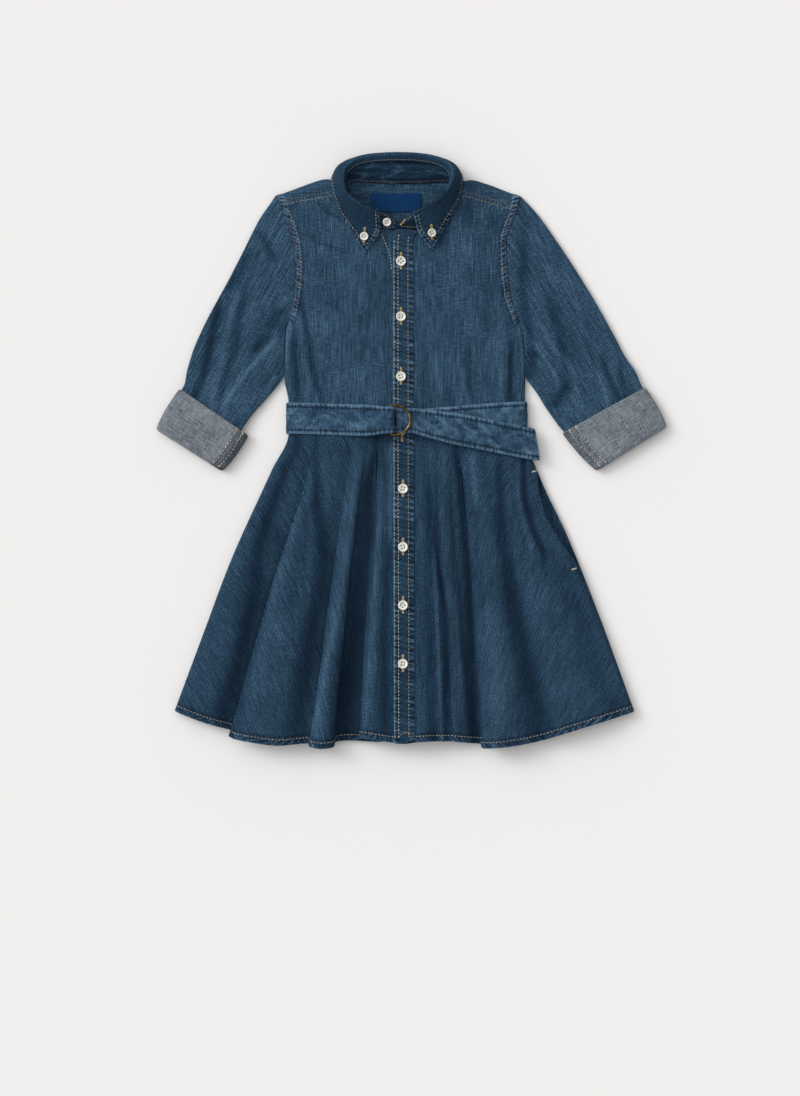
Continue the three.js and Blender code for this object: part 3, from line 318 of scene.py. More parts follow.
def aged_brass():
    shade = Shader("aged_brass")
    stain = shade.grain(160.0, 5.0)
    stops = [(0.3, (0.05, 0.033, 0.014)), (0.55, (0.20, 0.13, 0.05)), (0.75, (0.42, 0.29, 0.12))]
    colour, scratches = shade.ramp(stain, stops), shade.grain(1400.0, 2.0)
    polish = shade.maths("ADD", shade.maths("MULTIPLY", stain, 0.25), 0.2)
    return shade.finish(scratches, 0.15, 0.00005, Base_Color=colour, Roughness=polish, Metallic=1.0)


def pearl():
    shade = Shader("pearly_button")
    swirl = shade.maths("SUBTRACT", shade.grain(220.0, 4.0, 1.5), shade.wear_and_shade())
    # The dark first stop is reached only where the mesh paints shade, in the buttons' holes.
    colour = shade.ramp(swirl, [
        (0, (0.05, 0.045, 0.04)), (0.25, (0.58, 0.56, 0.48)),
        (0.5, (0.78, 0.77, 0.70)), (0.8, (0.90, 0.90, 0.86)),
    ])
    return shade.finish(None, 0, 0, Base_Color=colour, Roughness=0.22, Coat_Weight=0.4, Coat_Roughness=0.1)


def plain_label():
    shade = Shader("navy_label")
    rib = shade.bands((1, 1), "Y", {"Scale": 60.0, "Distortion": 0.4, "Detail": 1.0})
    weave = shade.total([(rib, 0.4), (shade.noise((60, 220), detail=2.0), 0.6)])
    colour = shade.ramp(weave, [(0.25, (0.002, 0.024, 0.078)), (0.8, (0.007, 0.049, 0.155))])
    return shade.finish(weave, 0.4, 0.0002, Base_Color=colour, Roughness=0.6, Specular_IOR_Level=0.06)


def floor_paper():
    shade = Shader("paper")
    look = {"Base_Color": (0.88, 0.866, 0.856, 1), "Roughness": 0.95, "Specular_IOR_Level": 0.1}
    return shade.finish(shade.grain(900.0, 3.0), 0.05, 0.0002, **look)


BODY = denim("denim", 1.1, 0.75, 0.95, wear_and_shade=0.5)
SKIRT = denim("denim_skirt", 0.95, 0.6, 1.1, even=-0.13, wear_and_shade=0.5)
COLLAR = denim("denim_collar", 0.25, 0.5, 0.9, even=-0.24)
BAND = denim("denim_placket", 0.4, 0.8, 0.8, even=-0.1)
BELT = denim("denim_belt", 0.35, 0.7, 0.9, even=0.08)
REVERSE, BRASS, PEARL, LABEL = denim_reverse(), aged_brass(), pearl(), plain_label()
THREADS = {
    "cream": thread("cream", (0.50, 0.45, 0.33), (0.82, 0.77, 0.62)),
    "tan": thread("tan", (0.36, 0.26, 0.14), (0.66, 0.53, 0.34)),
    "brown": thread("brown", (0.16, 0.09, 0.05), (0.36, 0.24, 0.14)),
    "navy": thread("navy", (0.006, 0.012, 0.024), (0.02, 0.04, 0.07)),
    "gold": thread("gold", (0.45, 0.28, 0.08), (0.78, 0.56, 0.25)),
}

# Meshes


def place_mesh(name, points, faces, material, node=None, cloth=None, wear_and_shade=None):
    """An object from points in millimetres, riding on the dress, in place of the CAD's node."""
    mesh = bpy.data.meshes.new(name)
    mesh.from_pydata(((np.asarray(points) + SHIFT) * MM).tolist(), [], np.asarray(faces, object).tolist())
    mesh.polygons.foreach_set("use_smooth", [True] * len(mesh.polygons))
    if cloth is not None:
        corner = np.empty(len(mesh.loops), int)
        mesh.loops.foreach_get("vertex_index", corner)
        mesh.uv_layers.new(name="cloth").data.foreach_set("uv", (np.asarray(cloth) / 100)[corner].ravel())
    if wear_and_shade is not None:
        values = mesh.attributes.new("wear_and_shade", "FLOAT", "POINT").data
        values.foreach_set("value", np.asarray(wear_and_shade, float).ravel())
    mesh.materials.append(material)
    made = bpy.data.objects.new(name, mesh)
    bpy.context.scene.collection.objects.link(made)
    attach(made, "root")
    if node:
        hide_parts(node)
    return made


def normals(grid):
    return unit(np.cross(np.gradient(grid, axis=1), np.gradient(grid, axis=0)))


def arc(grid, axis):
    steps_long = np.linalg.norm(np.diff(grid, axis=axis), axis=2)
    lead = np.zeros_like(np.take(steps_long, [0], axis=axis))
    return np.concatenate([lead, np.cumsum(steps_long, axis=axis)], axis=axis)


def quads(index):
    corners = (index[:-1, :-1], index[:-1, 1:], index[1:, 1:], index[1:, :-1])
    return np.stack([corner.ravel() for corner in corners], axis=1)


class Panel:
    """A piece of cloth as a grid of points on its face, u across and v along, with its own cloth coordinates.
    us and vs are places from 0 to 1, or a number of even steps."""

    def __init__(self, surface, us, vs, face=1, cloth=None):
        self.us, self.vs = (steps(places) if isinstance(places, int) else places for places in (us, vs))
        self.face = face
        self.U, self.V = np.meshgrid(self.us, self.vs)
        self.base = self.out = surface(self.U, self.V)
        self.x, self.y = self.base[..., 0], self.base[..., 1]
        self.normal = face * normals(self.base)
        self.across, self.along = arc(self.base, 1), arc(self.base, 0)
        self.to_side, self.to_end = self.across[:, -1:] - self.across, self.along[-1:] - self.along
        self.off_sides = np.minimum(self.across, self.to_side)
        middle = self.across[:, self.across.shape[1] // 2][:, None]
        even = stack(self.across - middle, self.along.mean(axis=1, keepdims=True))
        self.cloth = cloth(self) if cloth else even

    def raise_by(self, height):
        """Moves the face out by height, millimetres."""
        self.out = self.out + self.normal * np.asarray(height)[..., None]
        self.normal = self.face * normals(self.out)

    def at(self, u, v):
        """Points and normals of the face at places u, v."""
        u, v = np.broadcast_arrays(np.asarray(u, float), np.asarray(v, float))
        i = np.interp(v, self.vs, np.arange(len(self.vs)))
        j = np.interp(u, self.us, np.arange(len(self.us)))
        i0, j0 = np.minimum(i.astype(int), len(self.vs) - 2), np.minimum(j.astype(int), len(self.us) - 2)
        fi, fj = (i - i0)[:, None], (j - j0)[:, None]
        points, up = (
            mix(mix(grid[i0, j0], grid[i0, j0 + 1], fj), mix(grid[i0 + 1, j0], grid[i0 + 1, j0 + 1], fj), fi)
            for grid in (self.out, self.normal)
        )
        return points, unit(up)

    def seat(self, x, y):
        """The face's point and normal at a place seen from above."""
        far = (self.out[..., 0] - x) ** 2 + (self.out[..., 1] - y) ** 2 + 1e6 * (self.normal[..., 2] < 0.15)
        i, j = np.unravel_index(np.argmin(far), far.shape)
        point, normal = self.out[i, j], self.normal[i, j]
        z = point[2] - ((x - point[0]) * normal[0] + (y - point[1]) * normal[1]) / normal[2]
        return np.array([x, y, z]), normal

    def follow(self, places):
        """Points and normals under a line of places seen from above."""
        points, up = zip(*(self.seat(x, y) for x, y in places[:, :2]))
        return np.array(points), np.array(up)

    def row(self, distance, part=(0, 1), from_end=False):
        """A line across the cloth at a distance from its first or last row."""
        us = np.linspace(*part, 500)
        columns = np.interp(us, self.us, np.arange(len(self.us)))
        return self.at(us, [self.reach(self.along, self.vs, c, distance, from_end) for c in columns])

    def column(self, distance, part=(0, 1), from_end=False):
        """A line along the cloth at a distance from its first or last column."""
        vs = np.linspace(*part, 700)
        rows = np.interp(vs, self.vs, np.arange(len(self.vs)))
        return self.at([self.reach(self.across.T, self.us, r, distance, from_end) for r in rows], vs)

    @staticmethod
    def reach(arcs, places, place, distance, from_end):
        low = min(int(place), arcs.shape[1] - 2)
        run = mix(arcs[:, low], arcs[:, low + 1], place - low)
        return np.interp(run[-1] - distance if from_end else distance, run, places)

    def make(
        self, node, material, *, thick=CLOTH, wear_and_shade=0.0, back=None, held="laid", rests_on=("floor",), rim=0.35
    ):
        """A thin closed solid with rounded edges, worn lighter by rim."""
        outer = self.out
        inner = outer - self.normal * thick if back is None else back
        rows, columns = outer.shape[:2]
        size = rows * columns
        index = np.arange(size).reshape(rows, columns)
        edge = np.concatenate([index[0, :-1], index[:-1, -1], index[-1, :0:-1], index[:0:-1, 0]])
        rim_out, rim_in = outer.reshape(-1, 3)[edge], inner.reshape(-1, 3)[edge]
        centre = (rim_out + rim_in) / 2
        towards = np.roll(centre, -1, axis=0) - np.roll(centre, 1, axis=0)
        outward = unit(np.cross(towards, rim_out - rim_in) * self.face)
        points = np.concatenate([outer.reshape(-1, 3), inner.reshape(-1, 3), centre + outward * thick * 0.4])
        middle = 2 * size + np.arange(len(edge))
        rims = [
            np.stack([a, b, np.roll(b, -1), np.roll(a, -1)], axis=1)
            for a, b in ((edge, middle), (middle, size + edge))
        ]
        faces = np.concatenate([quads(index), quads(size + index)[:, ::-1], *rims])
        if self.face < 0:
            faces = faces[:, ::-1]
        flat = self.cloth.reshape(-1, 2)
        shade_and_wear = np.broadcast_to(wear_and_shade, (rows, columns)).ravel()
        cloth, shade_and_wear = np.concatenate([flat, flat, flat[edge]]), np.concatenate([shade_and_wear, shade_and_wear, shade_and_wear[edge] + rim])
        made = place_mesh(f"{node}_cloth", points, faces, material, node, cloth, shade_and_wear)
        list(rests_on)


# One stitch: along, up and sideways, in shares of its length, height and width
STITCH = np.array([
    [-0.5, -0.4, 0], [-0.3, 0.1, -0.5], [-0.3, 1, 0], [-0.3, 0.1, 0.5], [-0.3, -0.6, 0],
    [0.3, 0.1, -0.5], [0.3, 1, 0], [0.3, 0.1, 0.5], [0.3, -0.6, 0], [0.5, -0.4, 0],
])
STITCH_FACES = [(0, 2, 1), (0, 3, 2), (0, 4, 3), (0, 1, 4), (9, 5, 6), (9, 6, 7), (9, 7, 8), (9, 8, 5)]
STITCH_FACES += [(1, 2, 6, 5), (2, 3, 7, 6), (3, 4, 8, 7), (4, 1, 5, 8)]


def flipped(run, thick):
    """The same line on the other face of the cloth."""
    points, up = run
    return points - up * thick, -up


class Sewing:
    """All the stitches of one thread, as one mesh."""

    def __init__(self, name):
        self.name, self.points = name, []

    def stitches(self, centre, along, up, length, width=0.62, height=0.34):
        """Stitches at given centres, each along its own direction."""
        along = unit(along)
        side = unit(np.cross(along, up))
        sizes = (np.broadcast_to(length, len(centre))[:, None, None], height, width)
        shares = (STITCH[None, :, k : k + 1] * size for k, size in enumerate(sizes))
        parts = [share * way[:, None] for share, way in zip(shares, (along, up, side))]
        self.points.append((centre[:, None] + parts[0] + parts[1] + parts[2]).reshape(-1, 3))

    def line(self, run, pitch=3.9, share=0.6, width=0.75, height=0.36, first=0.5):
        """A row of stitches along a run of points and normals."""
        points, up = run
        along = lengths(points)
        number = max(1, int(along[-1] / pitch))
        at = (np.arange(number) + first) * along[-1] / number
        half = 0.4 * pitch
        centre, normal = read(at, along, points), read(at, along, up)
        direction = read(at + half, along, points) - read(at - half, along, points)
        keep = np.linalg.norm(direction, axis=1) > 1e-6
        vary = 1 + 0.16 * np.sin(np.arange(number) * 2.4)
        length = (pitch * share * vary)[keep]
        self.stitches(centre[keep], direction[keep], normal[keep], length, width, height)

    def row(self, run, **how):
        """A row of stitches with navy marks between them, the painted shade of the dimples where the cloth is
        drawn in.
        """
        self.line(run, **how)
        # Painted shade: low, dark navy marks between the stitches.
        how = {**how, "share": 0.4, "width": 1.5 * how.get("width", 0.75), "height": 0.1, "first": 1.0}
        navy.line(run, **how)

    def make(self):
        points = np.concatenate(self.points)
        starts = np.arange(0, len(points), len(STITCH)).tolist()
        faces = [[start + corner for corner in face] for start in starts for face in STITCH_FACES]
        place_mesh(f"stitches_{self.name}", points, faces, THREADS[self.name])


# Shapes of the pieces

MIDDLE_HEIGHT = Table("v z", [
    (0, 9.6), (0.12, 8.6), (0.45, 8), (0.8, 8.4), (1, 7.4),
])
MIDDLE_EDGE = {
    "right": Table("v x y", [
        (0, 8, 0), (0.78, 4, 210), (0.83, -13, 215.5), (0.88, -36, 220), (0.94, -57, 235), (1, -69, 255.3),
    ]),
    "left": Table("v x y", [
        (0, -11.3, 0), (0.74, -11.3, 200), (0.8, -7.5, 216), (0.83, 14, 214.5), (0.88, 32, 219),
        (0.94, 50, 236), (1, 59.5, 256),
    ]),
}
OUTER_EDGE = {
    "right": Table("v x y z", [
        (0, -131.3, 0, 5), (0.07, -131.4, 17, 4.8), (0.2, -136.3, 47, 3.2), (0.4, -135.1, 95, 3.2),
        (0.5, -128.8, 117.3, 3.6), (0.6, -124.6, 141, 5.2), (0.7, -122.7, 166, 6), (0.84, -125.3, 200, 6.2),
        (1, -139.5, 242.6, 6),
    ]),
    "left": Table("v x y z", [
        (0, 140, 0, 5), (0.07, 140.1, 17, 4.8), (0.2, 140.3, 47, 3.2), (0.4, 138.8, 90, 3.2),
        (0.5, 132.2, 112.1, 3.6), (0.6, 123.6, 139, 5.2), (0.7, 120.2, 166, 6), (0.84, 118.6, 200, 6.2),
        (1, 129.6, 235.7, 6),
    ]),
}
SKIRT_FOLDS = {
    "right": Table("waist_x hem_x hem_y hem_z", [
        (-131.3, -262.2, -335.8, 3.2), (-129.6, -260.6, -336.6, 8.5), (-124, -246, -342.5, 13.5),
        (-111, -222, -351, 15), (-102, -202, -356.5, 10.5), (-97, -186, -361, 5.6),
        (-94, -181.5, -363, 9.2), (-91, -198.8, -364.6, 14.6), (-87, -195, -366.8, 20.5),
        (-78, -171, -371.5, 24.5), (-68, -143, -374.9, 23.5), (-60, -116, -373, 16),
        (-56, -105, -372.4, 12.6), (-53, -107.6, -375.6, 18), (-48, -94, -378.6, 23.5),
        (-43, -79.4, -377, 17.5), (-40.5, -76.4, -371.4, 8.8), (-37.5, -60, -370, 6.2),
        (-34, -30, -371.6, 6.2), (-32, -23.5, -371.4, 10), (-30, -49.4, -366, 14.8),
        (-27, -45, -366.4, 19.8), (-19, -26, -369.4, 21.6), (-11, -11.5, -371.6, 20.4),
        (8, 8, -372.2, 20.4),
    ]),
    "left": Table("waist_x hem_x hem_y hem_z", [
        (-11.3, -10.3, -372.4, 20.4), (0.6, 1.6, -373, 20.8), (12.5, 13.5, -371.4, 20.6),
        (21, 25, -370.6, 22), (29, 38.5, -370.3, 17.4), (33.5, 45, -370.3, 19.8),
        (38.5, 53, -370.3, 15.4), (43, 61.5, -371, 17), (49, 74, -372.4, 11), (54, 88, -373.6, 6.2),
        (58, 103, -374.4, 6.2), (60, 108.5, -375, 10), (62, 90.2, -377.6, 15.4), (65, 94, -378.3, 21),
        (75, 112, -377.2, 24.5), (86, 130, -375, 21), (94, 146, -372.4, 15.6), (100, 161, -368.8, 15.2),
        (110, 187, -360.8, 19.5), (121, 216, -352, 18), (133, 247, -342.6, 13), (138.4, 264, -337.2, 8),
        (140, 265.6, -336.6, 3.2),
    ]),
}
FLARE = {
    "right": Table("v out open", [
        (0, 0, 0), (0.05, 0, 0.03), (0.18, 0.15, 0.2), (0.49, 0.51, 0.55), (0.76, 0.77, 0.8), (1, 1, 1),
    ]),
    "left": Table("v out open", [
        (0, 0, 0), (0.05, 0, 0.03), (0.2, 0.135, 0.2), (0.4, 0.385, 0.45), (0.67, 0.675, 0.72), (1, 1, 1),
    ]),
}
BACK_HEM = Table("x y wave", [
    (-262.2, -335.8, 0), (-222, -348, 0), (-160, -361, 3.6), (-100, -367, 0), (-40, -364, 0), (10, -366, 3.2),
    (65, -367, 0), (100, -368, 0), (150, -363, 3.4), (205, -350, 0), (265.6, -336.6, 0),
])
SLEEVE = {
    "right": Table("out_x out_y in_x in_y mid_z", [
        (-145.8, 256.6, -129.6, 116.4, 3.15), (-165, 228, -134.5, 100, 3.15), (-184, 190.5, -135.8, 84, 3.15),
        (-204, 152, -136.4, 67, 3.15), (-224, 115, -136.8, 50, 3.15), (-240, 80, -150, 30, 3.3),
        (-248, 54, -172, 5, 4.6),
    ]),
    "left": Table("out_x out_y in_x in_y mid_z", [
        (134.6, 255.6, 133, 111.2, 3.15), (153, 236, 138.6, 96, 3.15), (176, 203.5, 139.5, 80, 3.15),
        (199, 168.6, 140.2, 64, 3.15), (221, 132.6, 140.7, 48, 3.15), (240, 99, 153, 30, 3.3),
        (256, 69, 163, 13, 4.2), (266, 55, 170, 3, 4.8),
    ]),
}
CUFF_SECTION = Table("a r", [
    (0.3, 0), (0.88, 0), (0.96, 0.4), (1, 1.8), (0.965, 3.2), (0.88, 3.7), (0.3, 3.7), (0.06, 3.7),
    (0.005, 3.3), (0, 2.5), (0.02, 1.55), (0.88, 1.55), (0.92, 1.35), (0.88, 1.2), (0.3, 1.2),
])
STAND = Table("base_x base_y base_z top_x top_y top_z", [
    (-7.5, 217, 9.6, -8.2, 221, 10.4), (-14, 216.6, 9.9, -12.4, 228.6, 13.6),
    (-25, 217, 9.9, -22, 234.6, 16.2), (-36, 219, 9.9, -33.2, 237.2, 18.4),
    (-47, 224.8, 9.8, -45, 241.2, 21.4), (-56, 232.6, 9.6, -56.2, 247, 23.4),
    (-63.4, 243.3, 9, -64.2, 255.6, 24.8), (-67.6, 254.5, 8.1, -68, 266, 25.4),
    (-67, 264, 7.7, -68.8, 276, 24.2), (-63.6, 270.4, 5.6, -66.2, 285, 20.6),
    (-55, 271.8, 4.1, -56.5, 294, 15.8), (-40, 270.8, 3.9, -43.5, 298.4, 12.8),
    (-22, 269.8, 3.8, -23, 300.6, 11.8), (-4, 269.6, 3.8, -4, 301.2, 11.4),
    (14, 269.8, 3.8, 15.5, 300.4, 11.8), (31, 270.8, 3.9, 35.5, 297.4, 12.8),
    (45, 271.8, 4.1, 48.3, 292.4, 15.8), (53.6, 270.4, 5.6, 55.8, 284, 20.6),
    (57, 264, 7.7, 55.4, 275.4, 24.2), (57.6, 254.5, 8.1, 53.2, 265.4, 25.4),
    (53.4, 243.3, 9, 47.8, 254, 24.8), (46, 232.6, 9.6, 38.4, 246, 23.4),
    (37, 224.8, 9.8, 27.5, 240.2, 20.8), (26, 219, 9.9, 16.5, 235.4, 18.2),
    (15, 217, 10.4, 9, 231.6, 16.4), (4, 217.4, 10.7, 1.4, 225.6, 13.8),
    (-5, 218.4, 11, -5, 220.6, 11.6),
])
LEAF = Table("fold_x fold_y fold_z mid_x mid_y mid_z edge_x edge_y edge_z", [
    (-27.6, 236.8, 19.6, -26.4, 217, 15.4, -43.7, 188.6, 10.4),
    (-34, 238.8, 21.8, -36, 220.5, 17, -49.5, 198.8, 10.4),
    (-43.7, 242.2, 24.4, -48, 227.5, 18.6, -57, 210.4, 10.4),
    (-54, 247.6, 26.4, -59.4, 235.6, 19.4, -65, 221.4, 10.4),
    (-62.4, 253.8, 27.8, -68.6, 245.2, 20.2, -72.4, 234, 10.4),
    (-67.6, 261.6, 28.4, -74.6, 256, 20.4, -78.2, 249.6, 10.2),
    (-70, 271.4, 28.2, -77.8, 268, 19.2, -81.6, 263.6, 9.4),
    (-70.2, 279.4, 26.6, -79, 277.6, 15.6, -82.4, 275, 6.4),
    (-67.6, 287.6, 22.6, -77.4, 285.6, 9.6, -78.6, 281.6, 1.4),
    (-59.6, 295.4, 18, -69, 293.4, 5.4, -67.5, 283.4, 0.4),
    (-46, 300.6, 15.2, -50.5, 299.6, 4.2, -50.5, 279.5, 0.3),
    (-24, 303.4, 14.2, -26, 302.2, 4, -27, 276.5, 0.3), (-3.5, 303.9, 13.9, -3.5, 302.6, 4, -3.5, 275.4, 0.3),
    (17, 303, 14.2, 19, 301.6, 4, 20, 276.5, 0.3), (37, 299.6, 15.2, 42.4, 298, 4.2, 43.4, 279.5, 0.3),
    (51, 294, 18, 59.4, 291, 5.4, 59.6, 283, 0.4), (57.6, 286.4, 22.6, 65.6, 283, 9.6, 67.6, 280, 1.4),
    (58.4, 278.4, 26.6, 66, 276, 15.6, 69, 273.6, 6.4), (56.4, 270, 28.2, 64, 267, 19.2, 68.4, 262.4, 9.4),
    (53, 261.6, 28.4, 60.4, 257, 20.4, 65.6, 250.6, 10.2),
    (47, 254.4, 27.8, 54.4, 246.6, 20.2, 60.4, 240.6, 10.4),
    (38.6, 248, 26.4, 46, 238, 19.4, 54.2, 229.4, 10.4), (29, 242.8, 24.4, 37, 229.4, 18.6, 48.4, 219, 10.4),
    (19.6, 238.4, 21.8, 27.6, 221.6, 17, 41.8, 207.4, 10.4),
    (12, 235.2, 19.6, 17.2, 215, 15.4, 33.3, 192.5, 10.4),
])
BELT_PATH = Table("x z y width slope", [
    (-46, 12.6, -3.4, 30, 0), (-32, 12.6, -3.4, 29.5, 0), (-21, 13.8, -3.4, 29, 0),
    (-14.6, 14.6, -3.4, 29, 0), (-10.7, 17.4, -3.4, 29, 0), (-10.7, 22.8, -3.4, 29, 0),
    (-14.6, 25.6, -3.4, 29, 0), (-21, 24.6, -3.4, 29, 0), (-32, 19.6, -3.4, 32.5, 0),
    (-47, 15.8, -3.3, 34.5, 0.03), (-62, 12.4, -2.8, 34.5, 0.03), (-85, 11.2, -2, 34.5, 0.03),
    (-108, 11.2, -1.2, 34.5, 0.03), (-124, 10.4, -0.8, 34.5, 0), (-131.9, 7.8, -0.7, 34.5, 0),
    (-133.3, 4.6, -0.7, 34.5, 0), (-131, 1.6, -0.7, 34.5, 0), (-124, 1, -0.7, 34.5, 0),
    (-60, 1, -0.7, 34.5, 0), (70, 1, 0, 34.5, 0), (132, 1, 0.4, 34.5, 0), (139.6, 1.6, 0.4, 34.5, 0),
    (142.1, 4.6, 0.4, 34.5, 0), (140.8, 7.8, 0.4, 34.5, 0), (132, 10.6, 0.2, 34.5, 0.04),
    (112, 11.4, -0.8, 34.5, 0.07), (80, 11.8, -3, 34, 0.07), (48, 13, -4.6, 31.5, 0.05),
    (22, 14.6, -4.6, 27, 0.02), (6, 14.9, -4, 26, 0), (-3.5, 15.2, -3.6, 26, 0),
    (-8.1, 17.5, -3.6, 26.5, 0), (-4, 20, -3.8, 27, 0), (3, 20.2, -3.8, 27, -0.03),
    (12, 20, -4, 27.2, -0.08), (22, 18.4, -5.9, 28.6, -0.15), (42, 16.4, -9.6, 32, -0.18),
    (66, 15.2, -14.2, 34.5, -0.2), (94, 14.2, -19.6, 34.5, -0.2), (124, 13.6, -25.6, 34.5, -0.2),
    (142, 12.6, -29.2, 34.5, -0.2), (153.7, 10.6, -31.4, 34.5, 0.16),
])
SHOULDER = {
    "right": [(-145.5, 255.4), (-84, 274.5), (-67.4, 270)],
    "left": [(134.2, 254.6), (76, 273.5), (57.4, 270)],
}
# The back neckline: out from the neck's middle, y, z, and y of the turn over the shoulder where there is one
NECK_X = -5.0
NECKLINE = [
    (61.6, 264.5, 6.4, 269.4), (57.6, 270.4, 2.6, None), (49, 271.4, 2.3, None), (34, 270.2, 2.3, None),
    (16, 269.3, 2.3, None), (0, 269, 2.3, None),
]
YOKE_BACK_Y = 180.0
YOKE_NOSE_Z = 3.2
CUFF = {
    "right": {"top": ((-256.5, 33.5), (-177.2, -20.4)), "end": ((-284, -13.5), (-207.5, -62)), "slack": 8.0},
    "left": {"top": ((278, 35), (182.5, -17.5)), "end": ((303.4, -10.5), (222, -61.5)), "slack": 0.0},
}
CUFF_LONG, CUFF_BULGE, CUFF_CORNER = 55.0, 1.8, 2.6
CUFF_GAP, CUFF_ROLL, CUFF_Z = 1.95, 3.7, 5.65
CUFF_SCALE = 56.0
ARMHOLE_GAP = 0.45
BELT_RAISES, COLLAR_RAISES = 2.4, 2.3
FACING_X, FACING_V = (-56, -8), (0.13, 0.5)
PLACKET_WIDTH, PLACKET_THICK = 23.8, 1.1
PLACKET_U = 2 / 22
HEM_V = 1 - 8 / 372
POCKET = {"top": -60.9, "bottom": -173.6, "open": 15.0}


def lap_drop(side, x):
    return 2.0 * ease(-25, -13, x) if side == "right" else 0.0 * x


def outer_edge(side, v):
    return [OUTER_EDGE[side].get(key, "v", v) for key in "xyz"]


def middle_edge(side, v):
    return [MIDDLE_EDGE[side].get(key, "v", v) for key in "xy"]


def front_surface(side, U, V):
    (mx, my), (ox, oy, oz) = middle_edge(side, V), outer_edge(side, V)
    x = mix(mx, ox, U)
    high = MIDDLE_HEIGHT.get("z", "v", V) - lap_drop(side, x)
    width = np.hypot(ox - mx, oy - my)
    return stack(x, mix(my, oy, U), mix(oz, high, round_over(width * (1 - U), EDGE_ROLL)))


def skirt_point(side, U, V):
    folds, flare = SKIRT_FOLDS[side], FLARE[side]
    waist = folds.across("waist_x", U)
    out, spread = flare.get("out", "v", V), flare.get("open", "v", V)
    seam_x, seam_z = (OUTER_EDGE[side].columns[key][0] for key in "xz")
    waist_z = mix(seam_z, MIDDLE_HEIGHT.columns["z"][0], round_over(abs(waist - seam_x), EDGE_ROLL))
    x = mix(waist, folds.across("hem_x", U), out)
    z = mix(waist_z, folds.across("hem_z", U), spread) - lap_drop(side, x)
    return stack(x, mix(-SEAM, folds.across("hem_y", U), V), z)


def mouth(y):
    t = np.clip((y - POCKET["top"]) / (POCKET["bottom"] - POCKET["top"]), 0, 1)
    return POCKET["open"] * np.sin(np.pi * t) ** 1.2


def skirt_surface(side, U, V):
    """A skirt front. The pocket's mouth draws the left one's side in, and the cloth near it with it."""
    found = skirt_point(side, U, V)
    if side == "right":
        return found
    cut = mouth(skirt_point(side, np.ones_like(U), V)[..., 1]) * ease(0.8, 1, U)
    wanted = found[..., 0] - cut
    low, high = np.full_like(U, 0.72), U.copy()
    for _ in range(24):
        half = (low + high) / 2
        short = skirt_point(side, half, V)[..., 0] < wanted
        low, high = np.where(short, half, low), np.where(short, high, half)
    moved = skirt_point(side, high, V)
    return np.where((cut > 0)[..., None], stack(moved[..., 0], found[..., 1], moved[..., 2]), found)


def belt_lift(y):
    return BELT_RAISES * ease(-34, -19, y) * (1 - ease(18, 32, y))


def curled(x, y, right, left, edge_z, inner_z):
    curl = 1 - round_over(np.minimum(x - right, left - x), 7)
    return stack(x, y, mix(inner_z, edge_z, curl))


def bodice_back(U, V):
    (rx, ry, rz), (lx, ly, lz) = (outer_edge(side, V) for side in SIDES)
    rz, lz = (mix(z, 0.4, ease(0.45, 0.6, V)) for z in (rz, lz))
    ry, ly = (np.minimum(y, YOKE_BACK_Y - SEAM) for y in (ry, ly))
    x, y = mix(rx, lx, U), mix(ry, ly, U)
    return curled(x, y, rx, lx, np.where(U < 0.5, rz, lz) - SEAM, belt_lift(y))


def skirt_back(U, V):
    ends = (("right", 0), ("left", 1))
    right, left = (np.moveaxis(skirt_point(side, 0 * U + end, V), -1, 0) for side, end in ends)
    hem_x = mix(*BACK_HEM.columns["x"][[0, -1]], U)
    y = mix(-SEAM, BACK_HEM.get("y", "x", hem_x), V)
    wave = BACK_HEM.get("wave", "x", hem_x) * ease(0.2, 1, V)
    edge_z = np.where(U < 0.5, right[2], left[2]) - SEAM
    return curled(mix(right[0], left[0], U), y, right[0], left[0], edge_z, belt_lift(y) + wave)


def yoke_lift(x, y):
    return COLLAR_RAISES * (1 - ease(62, 84, abs(x + 3))) * ease(236, 266, y)


def armhole(side, key, y):
    outer = OUTER_EDGE[side].columns
    tip = dict(zip("xyz", (*SHOULDER[side][0], YOKE_NOSE_Z)))
    return smooth_curve(np.append(outer["y"], tip["y"]), np.append(outer[key], tip[key]), y)


def yoke_column(start, nose, x_at):
    """One line over the shoulder: from the front seam, or the back neckline, to the back seam."""
    floor = lambda y: (float(x_at(y)), y, float(yoke_lift(x_at(y), y)))
    controls, top = [start], start[1]
    if nose is not None:
        low, top = float(yoke_lift(nose[0], nose[1] - 6)), nose[1] - 7
        controls += [
            (mix(start[0], nose[0], 0.7), mix(start[1], nose[1], 0.7), mix(start[2], YOKE_NOSE_Z, 0.18)),
            (nose[0], nose[1], max(YOKE_NOSE_Z, low + 1.8)),
            (float(x_at(nose[1] - 2.4)), nose[1] - 2.4, low + 0.5),
            floor(top),
        ]
    controls += [floor(mix(top, YOKE_BACK_Y, t)) for t in (0.15, 0.35, 0.6, 0.8, 1)]
    return np.maximum(spaced(through(controls, np.linspace(0, 1, 500)), 97), (-1e6, -1e6, 0))


def yoke_surface(U, V):
    stations = []
    for side in SIDES:
        lines = []
        path = spaced(through([(*p, 0) for p in SHOULDER[side]], np.linspace(0, 1, 400)), 101)
        neck_x = SHOULDER[side][2][0]
        for share in (0, 0.12, 0.25, 0.5, 0.75, 0.92):
            edge = front_surface(side, np.array([1.0 - share]), np.array([1.0]))[0] + (0, SEAM, 0)
            x_at = lambda y, share=share: mix(armhole(side, "x", y), neck_x, share)
            lines.append(yoke_column(edge, path[round(share * 100)], x_at))
        for out, y, z, nose_y in NECKLINE[: 6 if side == "right" else 5]:
            x = NECK_X + SIGN[side] * out
            lines.append(yoke_column((x, y, z), nose_y and (x, nose_y), lambda y, x=x: x))
        stations += lines if side == "right" else lines[::-1]
    rows = through(np.array(stations), U[0])
    return through(rows.transpose(1, 0, 2), V[:, 0])


